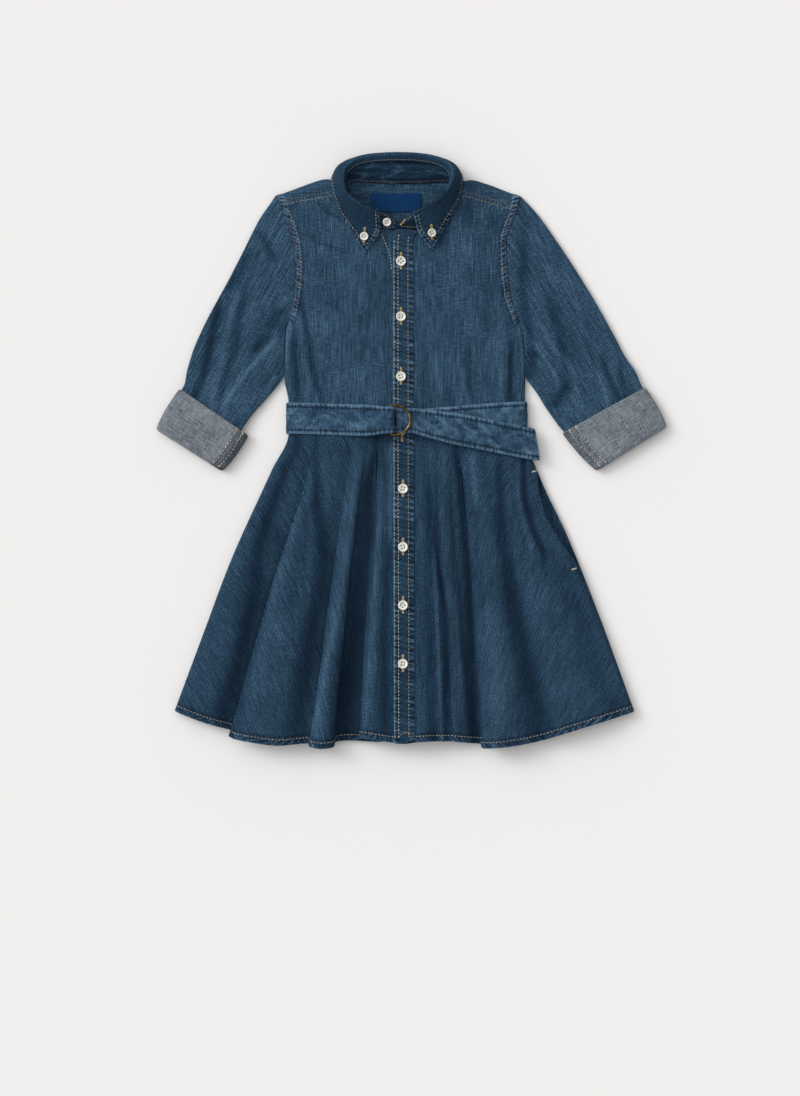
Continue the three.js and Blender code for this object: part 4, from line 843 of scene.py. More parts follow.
def flat_ring(q):
    """Round a flattened tube: q 0 to 0.5 over the top from inner edge to outer, then back below."""
    angle = np.pi * np.where(q <= 0.5, 1 - 2 * q, 2 * q - 1)
    return (1 - np.cos(angle)) / 2, np.maximum(np.sin(angle), 0) ** 0.5, np.where(q <= 0.5, 1.0, -1.0)


def cuff_point(side, q, a, r, slack=0.0, shaped=0.0):
    """A point of the flattened cuff; shaped rounds its corners and bows its sides."""
    (top_out, top_in), (end_out, end_in) = CUFF[side]["top"], CUFF[side]["end"]
    along, high, top = flat_ring(q)
    ox, oy, ix, iy = (mix(s, e, a) for s, e in zip(top_out + top_in, end_out + end_in))
    width = np.hypot(ix - ox, iy - oy)
    near = np.clip(np.minimum(a, 1 - np.asarray(a)) * CUFF_LONG / CUFF_CORNER, 0, 1)
    corner = CUFF_CORNER * (1 - np.sqrt(1 - (1 - near) ** 2)) - CUFF_BULGE * np.sin(np.pi * np.clip(a, 0, 1))
    inset = (CUFF_ROLL - r + shaped * corner) / width
    share = mix(inset, 1 - inset - slack / width, along)
    return stack(mix(ox, ix, share), mix(oy, iy, share), CUFF_Z + top * (CUFF_GAP + r) * high)


def sleeve_surface(side, U, V):
    table, q = SLEEVE[side], U[0]
    along, high, top = flat_ring(q)
    arm_y = mix(SHOULDER[side][0][1], OUTER_EDGE[side].columns["y"][4], along)
    arm_x = armhole(side, "x", arm_y) + SIGN[side] * ARMHOLE_GAP
    ends = {key: column[0] for key, column in table.columns.items()}
    rings = []
    for s in np.linspace(0, 1, 13):
        row = {key: float(table.across(key, s)) for key in table.columns}
        joined = 1 - ease(0, 0.3, s)
        x = mix(row["out_x"], row["in_x"], along) + joined * (arm_x - mix(ends["out_x"], ends["in_x"], along))
        y = mix(row["out_y"], row["in_y"], along) + joined * (arm_y - mix(ends["out_y"], ends["in_y"], along))
        arm_z = mix(row["mid_z"], np.where(top > 0, armhole(side, "z", arm_y), 0), high)
        rings.append(stack(x, y, mix(row["mid_z"] + top * (CUFF_GAP + CLOTH) * high, arm_z, joined)))
    rings += [cuff_point(side, q, a, CLOTH, CUFF[side]["slack"]) for a in (-0.12, 0, 0.2)]
    return through(np.array(rings), V[:, 0])


def cuff_surface(side, U, V):
    section = stack(CUFF_SECTION.columns["a"] * CUFF_SCALE, CUFF_SECTION.columns["r"], 0)
    closed = np.concatenate([section[-2:], section, section[:3]])
    loop = through(closed, (2 + V[:, 0] * len(section)) / (len(closed) - 1))
    return cuff_point(side, U, (loop[:, 0] / CUFF_SCALE)[:, None], loop[:, 1][:, None], shaped=1.0)


def stand_surface(U, V):
    base, top = (through(STAND.points(row), U[0]) for row in ("base", "top"))
    return mix(base[None], top[None], V[..., None])


def leaf_surface(stand, U, V):
    """The collar's leaf, from its inner end on the stand, over the stand's top, to its own edge."""
    top_edge, outward = stand.row(0.0, (0.01, 0.99), from_end=True)
    lying, inward = flipped(stand.row(6.5, (0.01, 0.99), from_end=True), COLLAR_CLOTH)
    fold, mid, edge = (through(LEAF.points(row), U[0]) for row in ("fold", "mid", "edge"))
    far = ((fold[:, None, :2] - top_edge[None, :, :2]) ** 2).sum(axis=2)
    near = np.pad(np.argmin(far, axis=1).astype(float), 4, mode="reflect", reflect_type="odd")
    near = np.convolve(near, np.full(9, 1 / 9), mode="valid")
    over_top = read(near, np.arange(len(lying)), top_edge - 0.8 * outward + (0, 0, 2.9))
    inner_end = read(near, np.arange(len(lying)), lying + inward * (COLLAR_CLOTH + 0.35))
    rows = np.array([inner_end, over_top, fold, mid, edge])
    return smooth_curve(np.array([0, 0.07, 0.14, 0.5, 1]), rows, V[:, 0])


def belt_line(v):
    return through(stack(BELT_PATH.columns["x"], 0, BELT_PATH.columns["z"]), v)


def belt_surface(U, V):
    path = belt_line(V[:, 0])
    y, width, slope = (BELT_PATH.across(key, V[:, 0])[:, None] for key in ("y", "width", "slope"))
    turn, off = np.arctan(slope), (U - 0.5) * width
    return stack(path[:, 0:1] - off * np.sin(turn), y + off * np.cos(turn), np.maximum(path[:, 2:3], 1.0))


def placket_surface(U, V):
    v = np.clip(-V, 0, 1) * 0.8
    (mx, my), (ox, oy, _) = middle_edge("left", v), outer_edge("left", v)
    high = front_surface("left", U * PLACKET_WIDTH / np.hypot(ox - mx, oy - my), v)
    low = skirt_point("left", U * PLACKET_U, np.clip(V, 0, 1))
    return np.where((V <= 0)[..., None], high, low)


def facing_surface(U, V):
    edge = skirt_point("left", np.ones_like(V), mix(*FACING_V, V))
    return stack(edge[..., 0] + mix(*FACING_X, U), edge[..., 1], CLOTH + SEAM)


def label_surface(U, V):
    x, y = mix(*LABEL_X, U), mix(*LABEL_Y, V)
    return stack(x, y, yoke_lift(x, y) + CLOTH + SEAM + 0.7)


# Puckers, creases, wear and painted fold shade


def puckers(along, depth, seed, wave=4.2, reach=5.0):
    """Small ripples across a sewn edge: along runs with the seam, depth away from it; about -1 to 1."""
    swing = noise(along / 23, 0.3, seed) * 2.2
    ripple = np.sin(2 * np.pi * along / wave + swing * 2) * 0.6
    return (ripple + noise(along / (wave * 0.45), 2.7, seed + 1) * 0.55) * bump(depth, 0, reach)


def crumple(x, y, seed):
    """Fine ridges with sharp crests, as in cloth that was washed folded; 0 to 1."""
    return np.clip(1 - 3.2 * np.abs(noise(x, y, seed)), 0, 1) ** 2


def folds(panel, lines):
    """Soft ridges, and hollows where the height is below 0, along lines seen from above. The same values also
    paint the colour: shade in the hollows, light on the ridges.
    """
    total = np.zeros_like(panel.x)
    for height, first, last, *places in lines:
        x, y = np.array(places, float).reshape(-1, 2)[::-1].T
        share = (panel.y - y[0]) / (y[-1] - y[0])
        width = mix(last, first, np.clip(share, 0, 1))
        fade = ease(-0.3, 0.12, share) * (1 - ease(0.88, 1.3, share))
        total += height * fade * bump(panel.x, smooth_curve(y, x, panel.y), width)
    return total


# Folds seen in the photograph: height, width at the top and foot, then x and y of points from the top down
# Their heights are also painted into the cloth's colour: painted shade along the hollows, painted light along
# the ridges.
FOLDS = {
    "front_right": [
        (-0.45, 3.5, 4.5, -117, 136, -111, 107, -105, 67, -99, 38, -92, 21),
        (-0.5, 4, 5, -125, 90, -124, 67, -122, 44, -121, 18),
        (0.3, 2.5, 2.5, -126, 136, -130, 118, -133, 95, -135, 67),
        (0.15, 3, 4, -115, 83, -109, 49, -107, 22),
        (-0.3, 4, 4, -96, 246, -84, 234, -66, 226),
        (-0.28, 7, 7, -107, 210, -90, 199, -67, 190),
        (-0.15, 14, 14, -32, 160, -34, 135, -40, 110),
    ],
    "front_left": [
        (-0.7, 3, 4.5, 125, 78, 124, 55, 123, 16),
        (-0.3, 4, 4, 76, 73, 75, 49, 77, 32, 81, 16),
        (-0.22, 5, 5, 25, 67, 25, 38, 28, 18),
        (-0.22, 4, 5, 48, 50, 53, 30, 56, 18),
        (0.2, 3, 3, 39, 73, 38, 49, 44, 30),
        (0.2, 3, 3, 63, 67, 68, 44, 75, 20),
        (0.15, 4, 4, 114, 90, 111, 20),
        (0.3, 2, 2, 121, 136, 130, 113, 136, 84, 138, 61),
        # The next two lines are the painted shadow of the left collar leaf, cast on the front below it.
        (-0.45, 6, 7, 58, 247, 51, 222, 42, 200),
        (-0.3, 9, 9, 72, 247, 75, 232, 82, 220),
        (-0.15, 9, 12, 92, 170, 97, 130, 92, 90),
    ],
    "sleeve_right": [
        (-0.65, 5, 6, -212, 124, -218, 95, -223, 72, -228, 50, -237, 30, -241, 20),
        (0.25, 4, 4, -190, 136, -199, 107, -205, 78, -208, 55, -220, 21),
        (-0.35, 5, 5, -182, 136, -190, 101, -192, 78, -199, 61, -208, 38),
        (-0.45, 7, 7, -155, 96, -164, 84, -170, 76),
        (-0.35, 9, 9, -141, 124, -153, 101),
        (0.4, 5, 5, -146, 90, -162, 69, -178, 53, -194, 32, -205, 14),
        (-0.25, 4, 4, -144, 61, -155, 46, -162, 38),
        (-0.35, 4, 4, -162, 210, -153, 193, -146, 182),
        (-0.3, 8, 8, -178, 187, -187, 168, -201, 145),
    ],
    "sleeve_left": [
        (-0.6, 8, 8, 148, 75, 144, 46),
        (-0.35, 5, 6, 138, 205, 139, 182, 137, 153, 140, 124, 146, 90),
        (-0.35, 8, 9, 169, 136, 175, 118, 183, 95, 186, 67, 190, 38),
        (-0.4, 7, 7, 188, 36, 174, 14),
        (-0.45, 4, 4, 230, 67, 238, 44, 247, 22),
        (-0.4, 3, 3, 249, 58, 253, 38, 257, 26),
        (-0.3, 3, 3, 210, 84, 222, 55),
        (0.2, 4, 4, 163, 176, 175, 159),
        (0.25, 3, 3, 152, 84, 169, 58, 180, 38),
        (0.2, 5, 5, 155, 113, 175, 78, 198, 38, 204, 14),
        (0.25, 3, 3, 203, 90, 226, 44, 234, 22),
    ],
    "skirt_right": [
        (-0.75, 5, 17, -31, -37, -38, -75, -41, -120, -47, -186, -52, -232, -59, -278, -65, -330, -66, -360),
        (-0.55, 5, 15, -122, -37, -132, -54, -148, -95, -164, -150, -173, -209, -183, -255, -193, -300, -207,
         -345),
        (-0.5, 4, 16, -100, -55, -98, -94, -93, -130, -89, -163, -93, -198, -102, -240, -110, -280, -118,
         -330, -125, -355),
        (-0.3, 4, 8, -17, -165, -20, -209, -22, -267, -25, -350),
        (0.35, 3, 5, -26, -110, -30, -163, -33, -209, -36, -260, -43, -350),
        (0.3, 4, 6, -53, -60, -59, -117, -65, -160, -71, -210, -85, -270, -97, -320, -103, -355),
        (0.45, 5, 4, -13, -30, -14, -80, -15, -130),
        (0.15, 8, 14, -125, -110, -140, -190, -150, -280, -160, -345),
    ],
    "skirt_left": [
        (-0.75, 4, 6, 61, -43, 68, -94, 70, -135, 73, -163, 76, -209, 78, -255, 80, -301, 84, -358),
        (-0.55, 3, 4, 37, -140, 39, -163, 45, -198, 50, -232, 51, -270, 51, -313),
        (-0.3, 4, 4, 31, -80, 32, -105, 36, -145),
        (-0.5, 4, 14, 111, -60, 112, -110, 119, -163, 126, -209, 135, -255, 144, -301, 151, -350),
        (-0.75, 3, 4, 138, -45, 139, -83, 145, -112, 152, -135, 161, -156),
        (0.25, 3, 3, 48, -37, 49, -75),
        (0.35, 4, 4, 79, -45, 82, -75, 84, -100),
        (0.25, 3, 4, 61, -165, 62, -209, 65, -301, 68, -350),
        (0.25, 10, 14, 100, -220, 106, -270, 112, -345),
        (0.25, 3, 3, 131, -80, 137, -117, 147, -150),
    ],
}

# Bodice


def plan(panel):
    return panel.base[..., :2]


def fine_sides(number):
    """Places across a back panel, closer together where its sides curl."""
    ends = steps(40) ** 2 * 0.08
    return np.concatenate([ends, steps(number, 0.085, 0.915), 1 - ends[::-1]])


def felled(panel, off, seed):
    """The armhole's felled band, at a distance off its edge: how far it stands out, and its puckers."""
    return 1 - ease(6.4, 7.6, off), puckers(panel.along + 0.6 * off, off - 4, seed, wave=5.2, reach=4.6)


fronts, sleeves, skirts, cuffs = {}, {}, {}, {}
for side in SIDES:
    face = SIGN[side]
    panel = Panel(partial(front_surface, side), 1 - (1 - steps(84)) ** 1.35, 128, face, plan)
    edge, arm = panel.to_side, ease(0.42, 0.5, panel.V)
    drape_and_shade = folds(panel, FOLDS[f"front_{side}"])
    rise = 2.2 * drape_and_shade + 0.35 * rough(panel.x / 32, panel.y / 46, 11 + face)
    yoke_pucker = puckers(panel.across, panel.to_end, 40 + face, wave=5.0)
    band, arm_pucker = (found * arm for found in felled(panel, edge, 44 + face))
    quiet = 1.0 if side == "right" else ease(25, 32, panel.across)
    height = (rise * ease(16, 26, panel.y) * ease(0, 9, edge) + 0.22 * yoke_pucker) * quiet
    height += 0.55 * band + 0.16 * arm_pucker
    if side == "right":
        height *= ease(0, 14, panel.across - 4)
    seams = 0.35 * bump(edge, 7.4, 0.8) - 0.5 * bump(edge, 8.9, 0.9) - 0.4 * bump(edge, 1.7, 0.7)
    # The fold values and rise paint light on the fold ridges and shade in the hollows; the puckers and the
    # felled band's tones are real wear.
    wear_and_shade = 0.5 * yoke_pucker + 1.35 * arm_pucker + seams * arm + drape_and_shade + 0.06 * rise
    panel.raise_by(height)
    panel.make(f"bodice_front_{side}", BODY, wear_and_shade=wear_and_shade)
    fronts[side] = panel

Panel(bodice_back, fine_sides(60), steps(70, 0, 0.755), -1, plan).make("bodice_back", BODY)

yoke = Panel(yoke_surface, 170, 80, cloth=lambda panel: panel.base[..., [1, 0]])
yoke_pucker = puckers(yoke.across, yoke.along, 51, wave=5.0)
band, ladder = felled(yoke, yoke.off_sides, 54)
height = 0.2 * yoke_pucker + 0.5 * band + 0.25 * rough(yoke.x / 24, yoke.y / 18, 52)
yoke.raise_by(height * (yoke.base[..., 2] > 2.4))
wear_and_shade = 0.5 * yoke_pucker + 1.25 * ladder + 0.25 * bump(yoke.off_sides, 7.4, 0.8) - 0.06
yoke.make("yoke", BODY, wear_and_shade=wear_and_shade, held="folded")

# Sleeves


def along_sleeve(side, panel):
    """Cloth coordinates whose grain runs down the sleeve, the same on its top and underneath."""
    sin, cos = math.sin(SIGN[side] * 0.52), math.cos(0.52)
    return stack(panel.x * cos + panel.y * sin, panel.y * cos - panel.x * sin)


TUBE_TOP = 12 / 15
down_tube = np.concatenate([np.linspace(0, TUBE_TOP, count(110), endpoint=False), steps(16, TUBE_TOP, 1)])
for side in SIDES:
    face = -SIGN[side]
    panel = Panel(partial(sleeve_surface, side), 140, down_tube, face, partial(along_sleeve, side))
    top = ease(2.0, 4.6, panel.out[..., 2])
    drape_and_shade = folds(panel, FOLDS[f"sleeve_{side}"]) * top
    rise = 2.4 * drape_and_shade + 0.5 * rough(panel.x / 32, panel.y / 40, 61 + face)
    free = ease(0, 14, panel.along) * (1 - ease(11.4 / 15, 12.4 / 15, panel.V))
    cap = puckers(panel.across, panel.along, 66 + face, wave=7.5, reach=9)
    inside = ease(0, 0.03, panel.U) * ease(0, 0.03, 1 - panel.U)
    # The fold values and rise paint light on the fold ridges and shade in the hollows; the cap puckers and
    # the lighter edges are real wear.
    wear_and_shade = drape_and_shade + 0.06 * rise + 0.3 * cap
    wear_and_shade += 0.2 * bump(panel.along, 0, 1.0) + 0.16 * bump(panel.U, 0.5, 0.015)
    panel.raise_by((rise * free + 0.3 * cap + 0.45 * bump(panel.along, 3.0, 3.2)) * top * inside)
    panel.make(f"sleeve_{side}", BODY, wear_and_shade=wear_and_shade, held="folded")
    sleeves[side] = panel

# Skirt

PATTERN_TURN, PATTERN_RADIUS = math.radians(62), 130.0
down_skirt = np.concatenate([steps(160, 0, HEM_V - 0.004), steps(12, HEM_V, 1)])


def circle_cut(side, panel):
    """Cloth coordinates of a quarter of a circle skirt, whose grain runs straight at the button line."""
    share = panel.across / panel.across[:, -1:]
    turn = PATTERN_TURN * (1 - share if side == "right" else share) * SIGN[side]
    radius = PATTERN_RADIUS + panel.along.mean(axis=1, keepdims=True)
    return stack(radius * np.sin(turn), -radius * np.cos(turn))


def hem_relief(panel, seed):
    """Height of the turned hem, puckered by its stitching, and its tone: lighter at the fold and on the
    puckers' crests, darker overall and in a line just past the hem's edge.
    """
    off = panel.to_end
    ripple = puckers(panel.across + 1.2 * off, off - 3.4, seed, wave=5.6, reach=4.6)
    shade_and_wear = 1.1 * ripple + 0.4 * bump(off, 0, 1.4) - 0.15 - 0.3 * bump(off, 8.6, 1.4)
    return 0.6 * (1 - ease(7.4, 8.4, off)) + 0.3 * ripple, shade_and_wear * (1 - ease(9.5, 12, off))


def hollow(panel, reach):
    """How far the cloth lies below what is beside it, across the folds, in millimetres."""
    z = panel.out[..., 2]
    total = np.cumsum(np.pad(np.pad(z, ((0, 0), (reach, reach)), mode="edge"), ((0, 0), (1, 0))), axis=1)
    return (total[:, 2 * reach + 1 :] - total[:, : -2 * reach - 1]) / (2 * reach + 1) - z


for side in SIDES:
    panel = Panel(partial(skirt_surface, side), 190, down_skirt, -1, partial(circle_cut, side))
    hem, shade_and_wear = hem_relief(panel, 81 + SIGN[side])
    # Small folds that run from the waist to the hem between the large ones
    waver = 0.5 * noise(panel.V * 2, 0.5, 90)
    rise = noise(panel.U * 31 + waver, panel.V * 1.3, 84 + SIGN[side]) * ease(0.02, 0.5, panel.V)
    rise += 0.5 * rough(panel.cloth[..., 0] / 40, panel.cloth[..., 1] / 70, 87 + SIGN[side])
    drape_and_shade = folds(panel, FOLDS[f"skirt_{side}"])
    # Painted shade in the fold hollows, deeper where the cloth lies below what is beside it, and painted
    # light on the ridges.
    shade = 1.15 * drape_and_shade - 0.036 * np.clip(hollow(panel, count(12)), -6, 9) + 0.12 * rise
    rise += 0.9 * drape_and_shade
    if side == "left":
        rise *= ease(PLACKET_U, PLACKET_U + 0.05, panel.U)
        hem *= ease(PLACKET_U * 0.5, PLACKET_U, panel.U) * 0.6 + 0.4
    else:
        rise *= 1 - ease(0.9, 1.0, panel.U)
    panel.raise_by(rise * ease(16, 40, -panel.y) + hem)
    panel.make(f"skirt_front_{side}", SKIRT, wear_and_shade=shade_and_wear + shade)
    skirts[side] = panel

back_skirt = Panel(skirt_back, fine_sides(90), down_skirt[::2] if FINE == 1 else down_skirt, 1, plan)
back_skirt.make("skirt_back", SKIRT)

facing = Panel(facing_surface, 24, 60, -1)
facing.out = facing.base + (0, 0, CLOTH)
facing.make("pocket_facing", SKIRT, rests_on=["skirt_back_cloth"])

# Cuffs. The section is closed, so the first and last rows of the grid meet inside the roll

CUFF_ROWS = (0.127, 0.088)
for side, darkness in (("right", 1.3), ("left", 0.6)):
    cuff = Panel(partial(cuff_surface, side), 150, 90)
    ripple = 0.35 * rough(cuff.across / 22, cuff.along / 30, 71 + SIGN[side])
    ripple += 0.12 * rough(cuff.across / 7, cuff.along / 9, 73)
    cuff.raise_by(ripple * ease(1.4, 3.0, abs(cuff.out[..., 2] - CUFF_Z) - CUFF_GAP))
    turned_edges = bump(cuff.V, 3 / 15, 0.02) + bump(cuff.V, 9 / 15, 0.03)
    seam_band = 0.4 * (1 - ease(0.118, 0.128, cuff.U)) + 0.3 * (1 - ease(0.07, 0.09, cuff.U))
    seam_band += 0.5 * sum(bump(cuff.U, place, 0.006) for place in CUFF_ROWS)
    wear_and_shade = 0.3 * turned_edges + 0.45 * ripple - darkness * seam_band
    faces = quads(np.arange(cuff.x.size).reshape(cuff.x.shape))
    points, cloth = cuff.out.reshape(-1, 3), cuff.cloth.reshape(-1, 2)
    made = place_mesh(f"cuff_{side}_cloth", points, faces, REVERSE, f"cuff_{side}", cloth, wear_and_shade)
    cuffs[side] = cuff

# Placket

PLACKET_ROWS = (5.6, 17.2)
down_placket = [np.linspace(-1, 0, count(120), endpoint=False), steps(200, 0, HEM_V), [0.99, 1]]
placket = Panel(placket_surface, 25, np.concatenate(down_placket), -1)
ladder = puckers(placket.along, placket.off_sides - 3.2, 91, wave=6.4, reach=6.5)
sunk = sum(bump(placket.across, place, 0.55) for place in PLACKET_ROWS)
faint = 0.2 * rough(placket.along / 24, placket.across / 12, 93)
rounded = PLACKET_THICK * round_over(placket.off_sides + 0.05, 1.4)
placket.raise_by(SEAM + rounded + 0.3 * ladder + faint - 0.16 * sunk)
lit_edge = 0.8 * bump(placket.across, 0.5, 0.9) + 0.3 * bump(placket.to_side, 0.4, 0.9)
wear_and_shade = (lit_edge + 0.8 * ladder - 0.35 * sunk) * ease(4, 24, placket.along) - 0.1 * (placket.V > 0)
carried_by = ["bodice_front_left_cloth", "skirt_front_left_cloth"]
placket.make("placket", BAND, thick=PLACKET_THICK, rim=0.0, wear_and_shade=wear_and_shade, rests_on=carried_by)

# Collar

stand = Panel(stand_surface, 230, 16, -1)
ripple = 0.8 * rough(stand.across / 38 + stand.along / 14, stand.along / 3.4, 101)
ripple += 0.9 * crumple(stand.across / 26 + stand.along / 17, stand.along / 9 - stand.across / 60, 104) - 0.25
thickness = COLLAR_CLOTH + 0.45 * ripple * ease(0, 0.2, stand.U) * ease(0, 0.2, 1 - stand.U)
inner = stand.base - stand.normal * thickness[..., None]
collar_made = {"thick": COLLAR_CLOTH, "held": "folded"}
stand.make("collar_stand", COLLAR, back=inner, wear_and_shade=0.7 * ripple, rests_on=["yoke_cloth"], **collar_made)

down_leaf = np.concatenate([np.linspace(0, 0.18, count(17), endpoint=False), steps(28, 0.18, 1)])
leaf = Panel(partial(leaf_surface, stand), 260, down_leaf)
border = np.minimum(leaf.to_end, leaf.off_sides)
run = np.where(leaf.to_end < leaf.off_sides, leaf.across, leaf.along)
border_puckers = puckers(run, border - 2.5, 111, wave=5.4, reach=4.4)
outside = ease(0.1, 0.2, leaf.V)
faint = 0.25 * rough(leaf.across / 30, leaf.along / 16, 113)
leaf.raise_by((0.26 * border_puckers - 0.14 * bump(border, 4.6, 0.6) + faint) * outside)
wear_and_shade = (0.85 * border_puckers + 0.5 * bump(border, 0, 1.2) - 0.35 * bump(border, 4.6, 0.8)) * outside
wear_and_shade += 0.3 * bump(leaf.V, 0.09, 0.035)
leaf.make("collar_leaf", COLLAR, wear_and_shade=wear_and_shade, rests_on=["collar_stand_cloth"], rim=0.2, **collar_made)

# Belt

dense = np.linspace(0, 1, 4000)
length = lengths(belt_line(dense))
belt = Panel(belt_surface, 19, np.interp(steps(470, 0, length[-1]), length, dense))
slanted = lambda lean, deep, fall, long: (
    (belt.along + lean * belt.across) / deep, (belt.along - fall * belt.across) / long
)
sides_off = belt.off_sides
ridge = puckers(belt.along, sides_off - 2.4, 121, wave=4.6, reach=3.4)
groove = bump(sides_off, 3.6, 0.8)
wrinkled = 0.30 * rough(*slanted(1.4, 11, 1.4, 26), 123) + 0.22 * rough(*slanted(-1.8, 8, -1.6, 20), 126)
crossed = crumple(*slanted(1.5, 10, 1.2, 22), 128) + crumple(*slanted(-1.7, 9, -1.1, 20), 129)
wrinkled += 0.32 * crossed - 0.12
height = 0.5 * BELT_THICK * (0.55 + 0.45 * round_over(sides_off + 0.1, 2.0))
height += 0.24 * ridge - 0.32 * groove + 1.3 * wrinkled * ease(2, 7, sides_off)
inner = belt.base - belt.normal * height[..., None]
belt.raise_by(height)
wear_and_shade = 0.5 * bump(sides_off, 0.8, 1.4) + 0.65 * ridge - 0.75 * groove + 0.95 * wrinkled
wear_and_shade += 0.4 * bump(belt.to_end, 0, 1.5)
carried_by = ["bodice_front_right_cloth", "bodice_front_left_cloth", "floor"]
belt.make("belt", BELT, thick=BELT_THICK, back=inner, held="folded", wear_and_shade=wear_and_shade, rests_on=carried_by)

# Label

label = Panel(label_surface, 60, 24)
label_edge = np.minimum(label.along, label.to_end)
label.raise_by(0.12 * rough(label.x / 14, label.y / 9, 131) + 0.1 * bump(label_edge, 0, 1.2))
label.make("woven_label", LABEL, thick=0.6, wear_and_shade=0.2 * bump(label_edge, 0, 0.8), rests_on=["yoke_cloth"])

# D-rings

WIRE, BAR_X, ARC_X, RING_Y, RING_TALL = 1.3, -14.4, 9.4, -3.3, 37.0
RING_POINTS, WIRE_POINTS = 220, 16


def d_ring(node, z):
    half, corner = RING_TALL / 2 - WIRE, BAR_X + 3
    angle = np.linspace(-np.pi / 2, np.pi / 2, 13)
    bow = stack(corner + (ARC_X - WIRE - corner) * np.cos(angle), RING_Y + half * np.sin(angle), z)
    bar = stack(BAR_X, RING_Y + half * 0.86 * np.array([1, 0.5, 0, -0.5, -1]), z)
    loop = np.concatenate([bow, bar])
    closed = np.concatenate([loop[-3:], loop, loop[:4]])
    line = through(closed, (3 + np.arange(RING_POINTS) * len(loop) / RING_POINTS) / (len(closed) - 1))
    along = unit(np.roll(line, -1, axis=0) - np.roll(line, 1, axis=0))
    side = np.cross(along, (0, 0, 1))[:, None]
    turn = np.linspace(0, 2 * np.pi, WIRE_POINTS, endpoint=False)[:, None]
    points = line[:, None] + WIRE * (np.cos(turn) * side + np.sin(turn) * (0, 0, 1.0))
    index = np.arange(RING_POINTS * WIRE_POINTS).reshape(RING_POINTS, WIRE_POINTS)
    faces = quads(np.pad(index, ((0, 1), (0, 1)), mode="wrap"))
    place_mesh(f"{node}_brass", points.reshape(-1, 3), faces[:, ::-1], BRASS, node)


d_ring("d_ring_lower", 17.4)
d_ring("d_ring_upper", 22.8)

# Buttons

HOLE_R, HOLE_OUT, DISH_R, TURNS, COLLAR_SIZE = 0.8, 1.5, 3.4, 56, 0.86
BUTTON_RIM = [
    (0, 0, 0.25), (4.4, 0, 0.2), (5.2, 0, 0.45), (5.55, 0, 1.0), (5.6, 0, 1.4), (5.4, 0, 1.95),
    (4.95, 0, 2.3), (4.4, 0, 2.22), (3.9, 0, 1.85), (DISH_R, 0, 1.6),
]


def off_hole(x, y):
    return np.hypot(abs(x) - HOLE_OUT, abs(y) - HOLE_OUT)


def button_solid():
    """Points, faces and painted shade of a four-hole button, face up, with a rolled rim and a dished middle:
    dark in the holes, and a faint dark ring on the rim's inner slope.
    """
    rim = through(BUTTON_RIM, np.linspace(0, 1, 26))[1:]
    radius = np.concatenate([rim[:, 0], np.linspace(DISH_R, 0, 14)[1:-1]])[:, None]
    angle = np.linspace(0, 2 * np.pi, TURNS, endpoint=False)
    x, y = radius * np.cos(angle), radius * np.sin(angle)
    holes = 1.25 * (1 - ease(HOLE_R * 0.72, HOLE_R * 1.15, off_hole(x, y)))
    z = 1.6 - 0.28 * (1 - (radius / DISH_R) ** 2) - holes
    z[: len(rim)] = rim[:, 2:]
    points = np.concatenate([[(0, 0, 0.25)], stack(x, y, z).reshape(-1, 3), [(0, 0, 1.32)]])
    index = 1 + np.pad(np.arange(x.size).reshape(x.shape), ((0, 0), (0, 1)), mode="wrap")
    faces = quads(index).tolist()
    faces += [(0, after, here) for here, after in zip(index[0], index[0, 1:])]
    faces += [(here, after, len(points) - 1) for here, after in zip(index[-1], index[-1, 1:])]
    # Painted shade: a faint ring on the rim's inner slope, and dark in the holes.
    shade_and_wear = 0.14 * bump(np.hypot(points[:, 0], points[:, 1]), 3.6, 0.5)
    return points, faces, shade_and_wear + 0.6 * (1 - ease(0.7, 1.05, off_hole(points[:, 0], points[:, 1])))


BUTTON = button_solid()
button_places = []


def add_button(name, panel, x, y, seat, spin, size=1.0):
    """A button on a panel, its z along the cloth's normal, turned by spin."""
    point, up = panel.seat(x, y)
    along = np.array([math.cos(spin), math.sin(spin), 0.0])
    along = unit(along - unit(up) * along.dot(unit(up)))
    axes = size * stack(along, np.cross(unit(up), along), unit(up))
    origin = point + up * (seat - 0.05)
    points, faces, shade_and_wear = BUTTON
    place_mesh(f"button_{name}_pearl", points @ axes.T + origin, faces, PEARL, f"button_{name}", wear_and_shade=shade_and_wear)
    button_places.append((origin, axes))


# Each button's place, and how far above it its buttonhole is. The belt hides the fourth
FRONT_BUTTONS = [
    (-2.3, 179.4, 0.6), (-2.3, 116.1, 0.6), (-2.3, 47.1, 0.6), (-1.1, -14.0, -3.6),
    (0, -81.6, 0.6), (0, -148.3, 0.6), (0, -215, 0.6), (0, -281.8, 0.6),
]
for number, (x, y, _) in enumerate(FRONT_BUTTONS, 1):
    add_button(f"front_{number}", placket, x, y, SEAM, 0.3 + 0.5 * math.sin(number * 2.1))
add_button("collar_right", leaf, -44.3, 207.8, 0.6, 0.9, COLLAR_SIZE)
add_button("collar_left", leaf, 32.8, 211.8, 0.6, 0.5, COLLAR_SIZE)
add_button("stand", stand, -18.4, 224.2, 0.6, 0.2, COLLAR_SIZE)

# Sewing

cream, tan, brown, navy, gold = sewing = [Sewing(name) for name in THREADS]

# Placket: two rows down its length, a faint one by its edge, and a tent-shaped one at the hem
for place, thread_used in zip(PLACKET_ROWS, (cream, tan)):
    thread_used.row(placket.column(place, (-0.97, 0.985)), pitch=4.0)
cream.row(placket.column(1.4, (-0.94, 0.985)), pitch=3.6, share=0.35, width=0.5)
for foot in (-6.0, 11.0):
    rising = mix(np.array([foot, -365.5]), np.array([2.3, -359.5]), np.linspace(0, 1, 30)[:, None])
    gold.line(placket.follow(rising if foot < 0 else rising[::-1]), pitch=3.0, share=0.8)

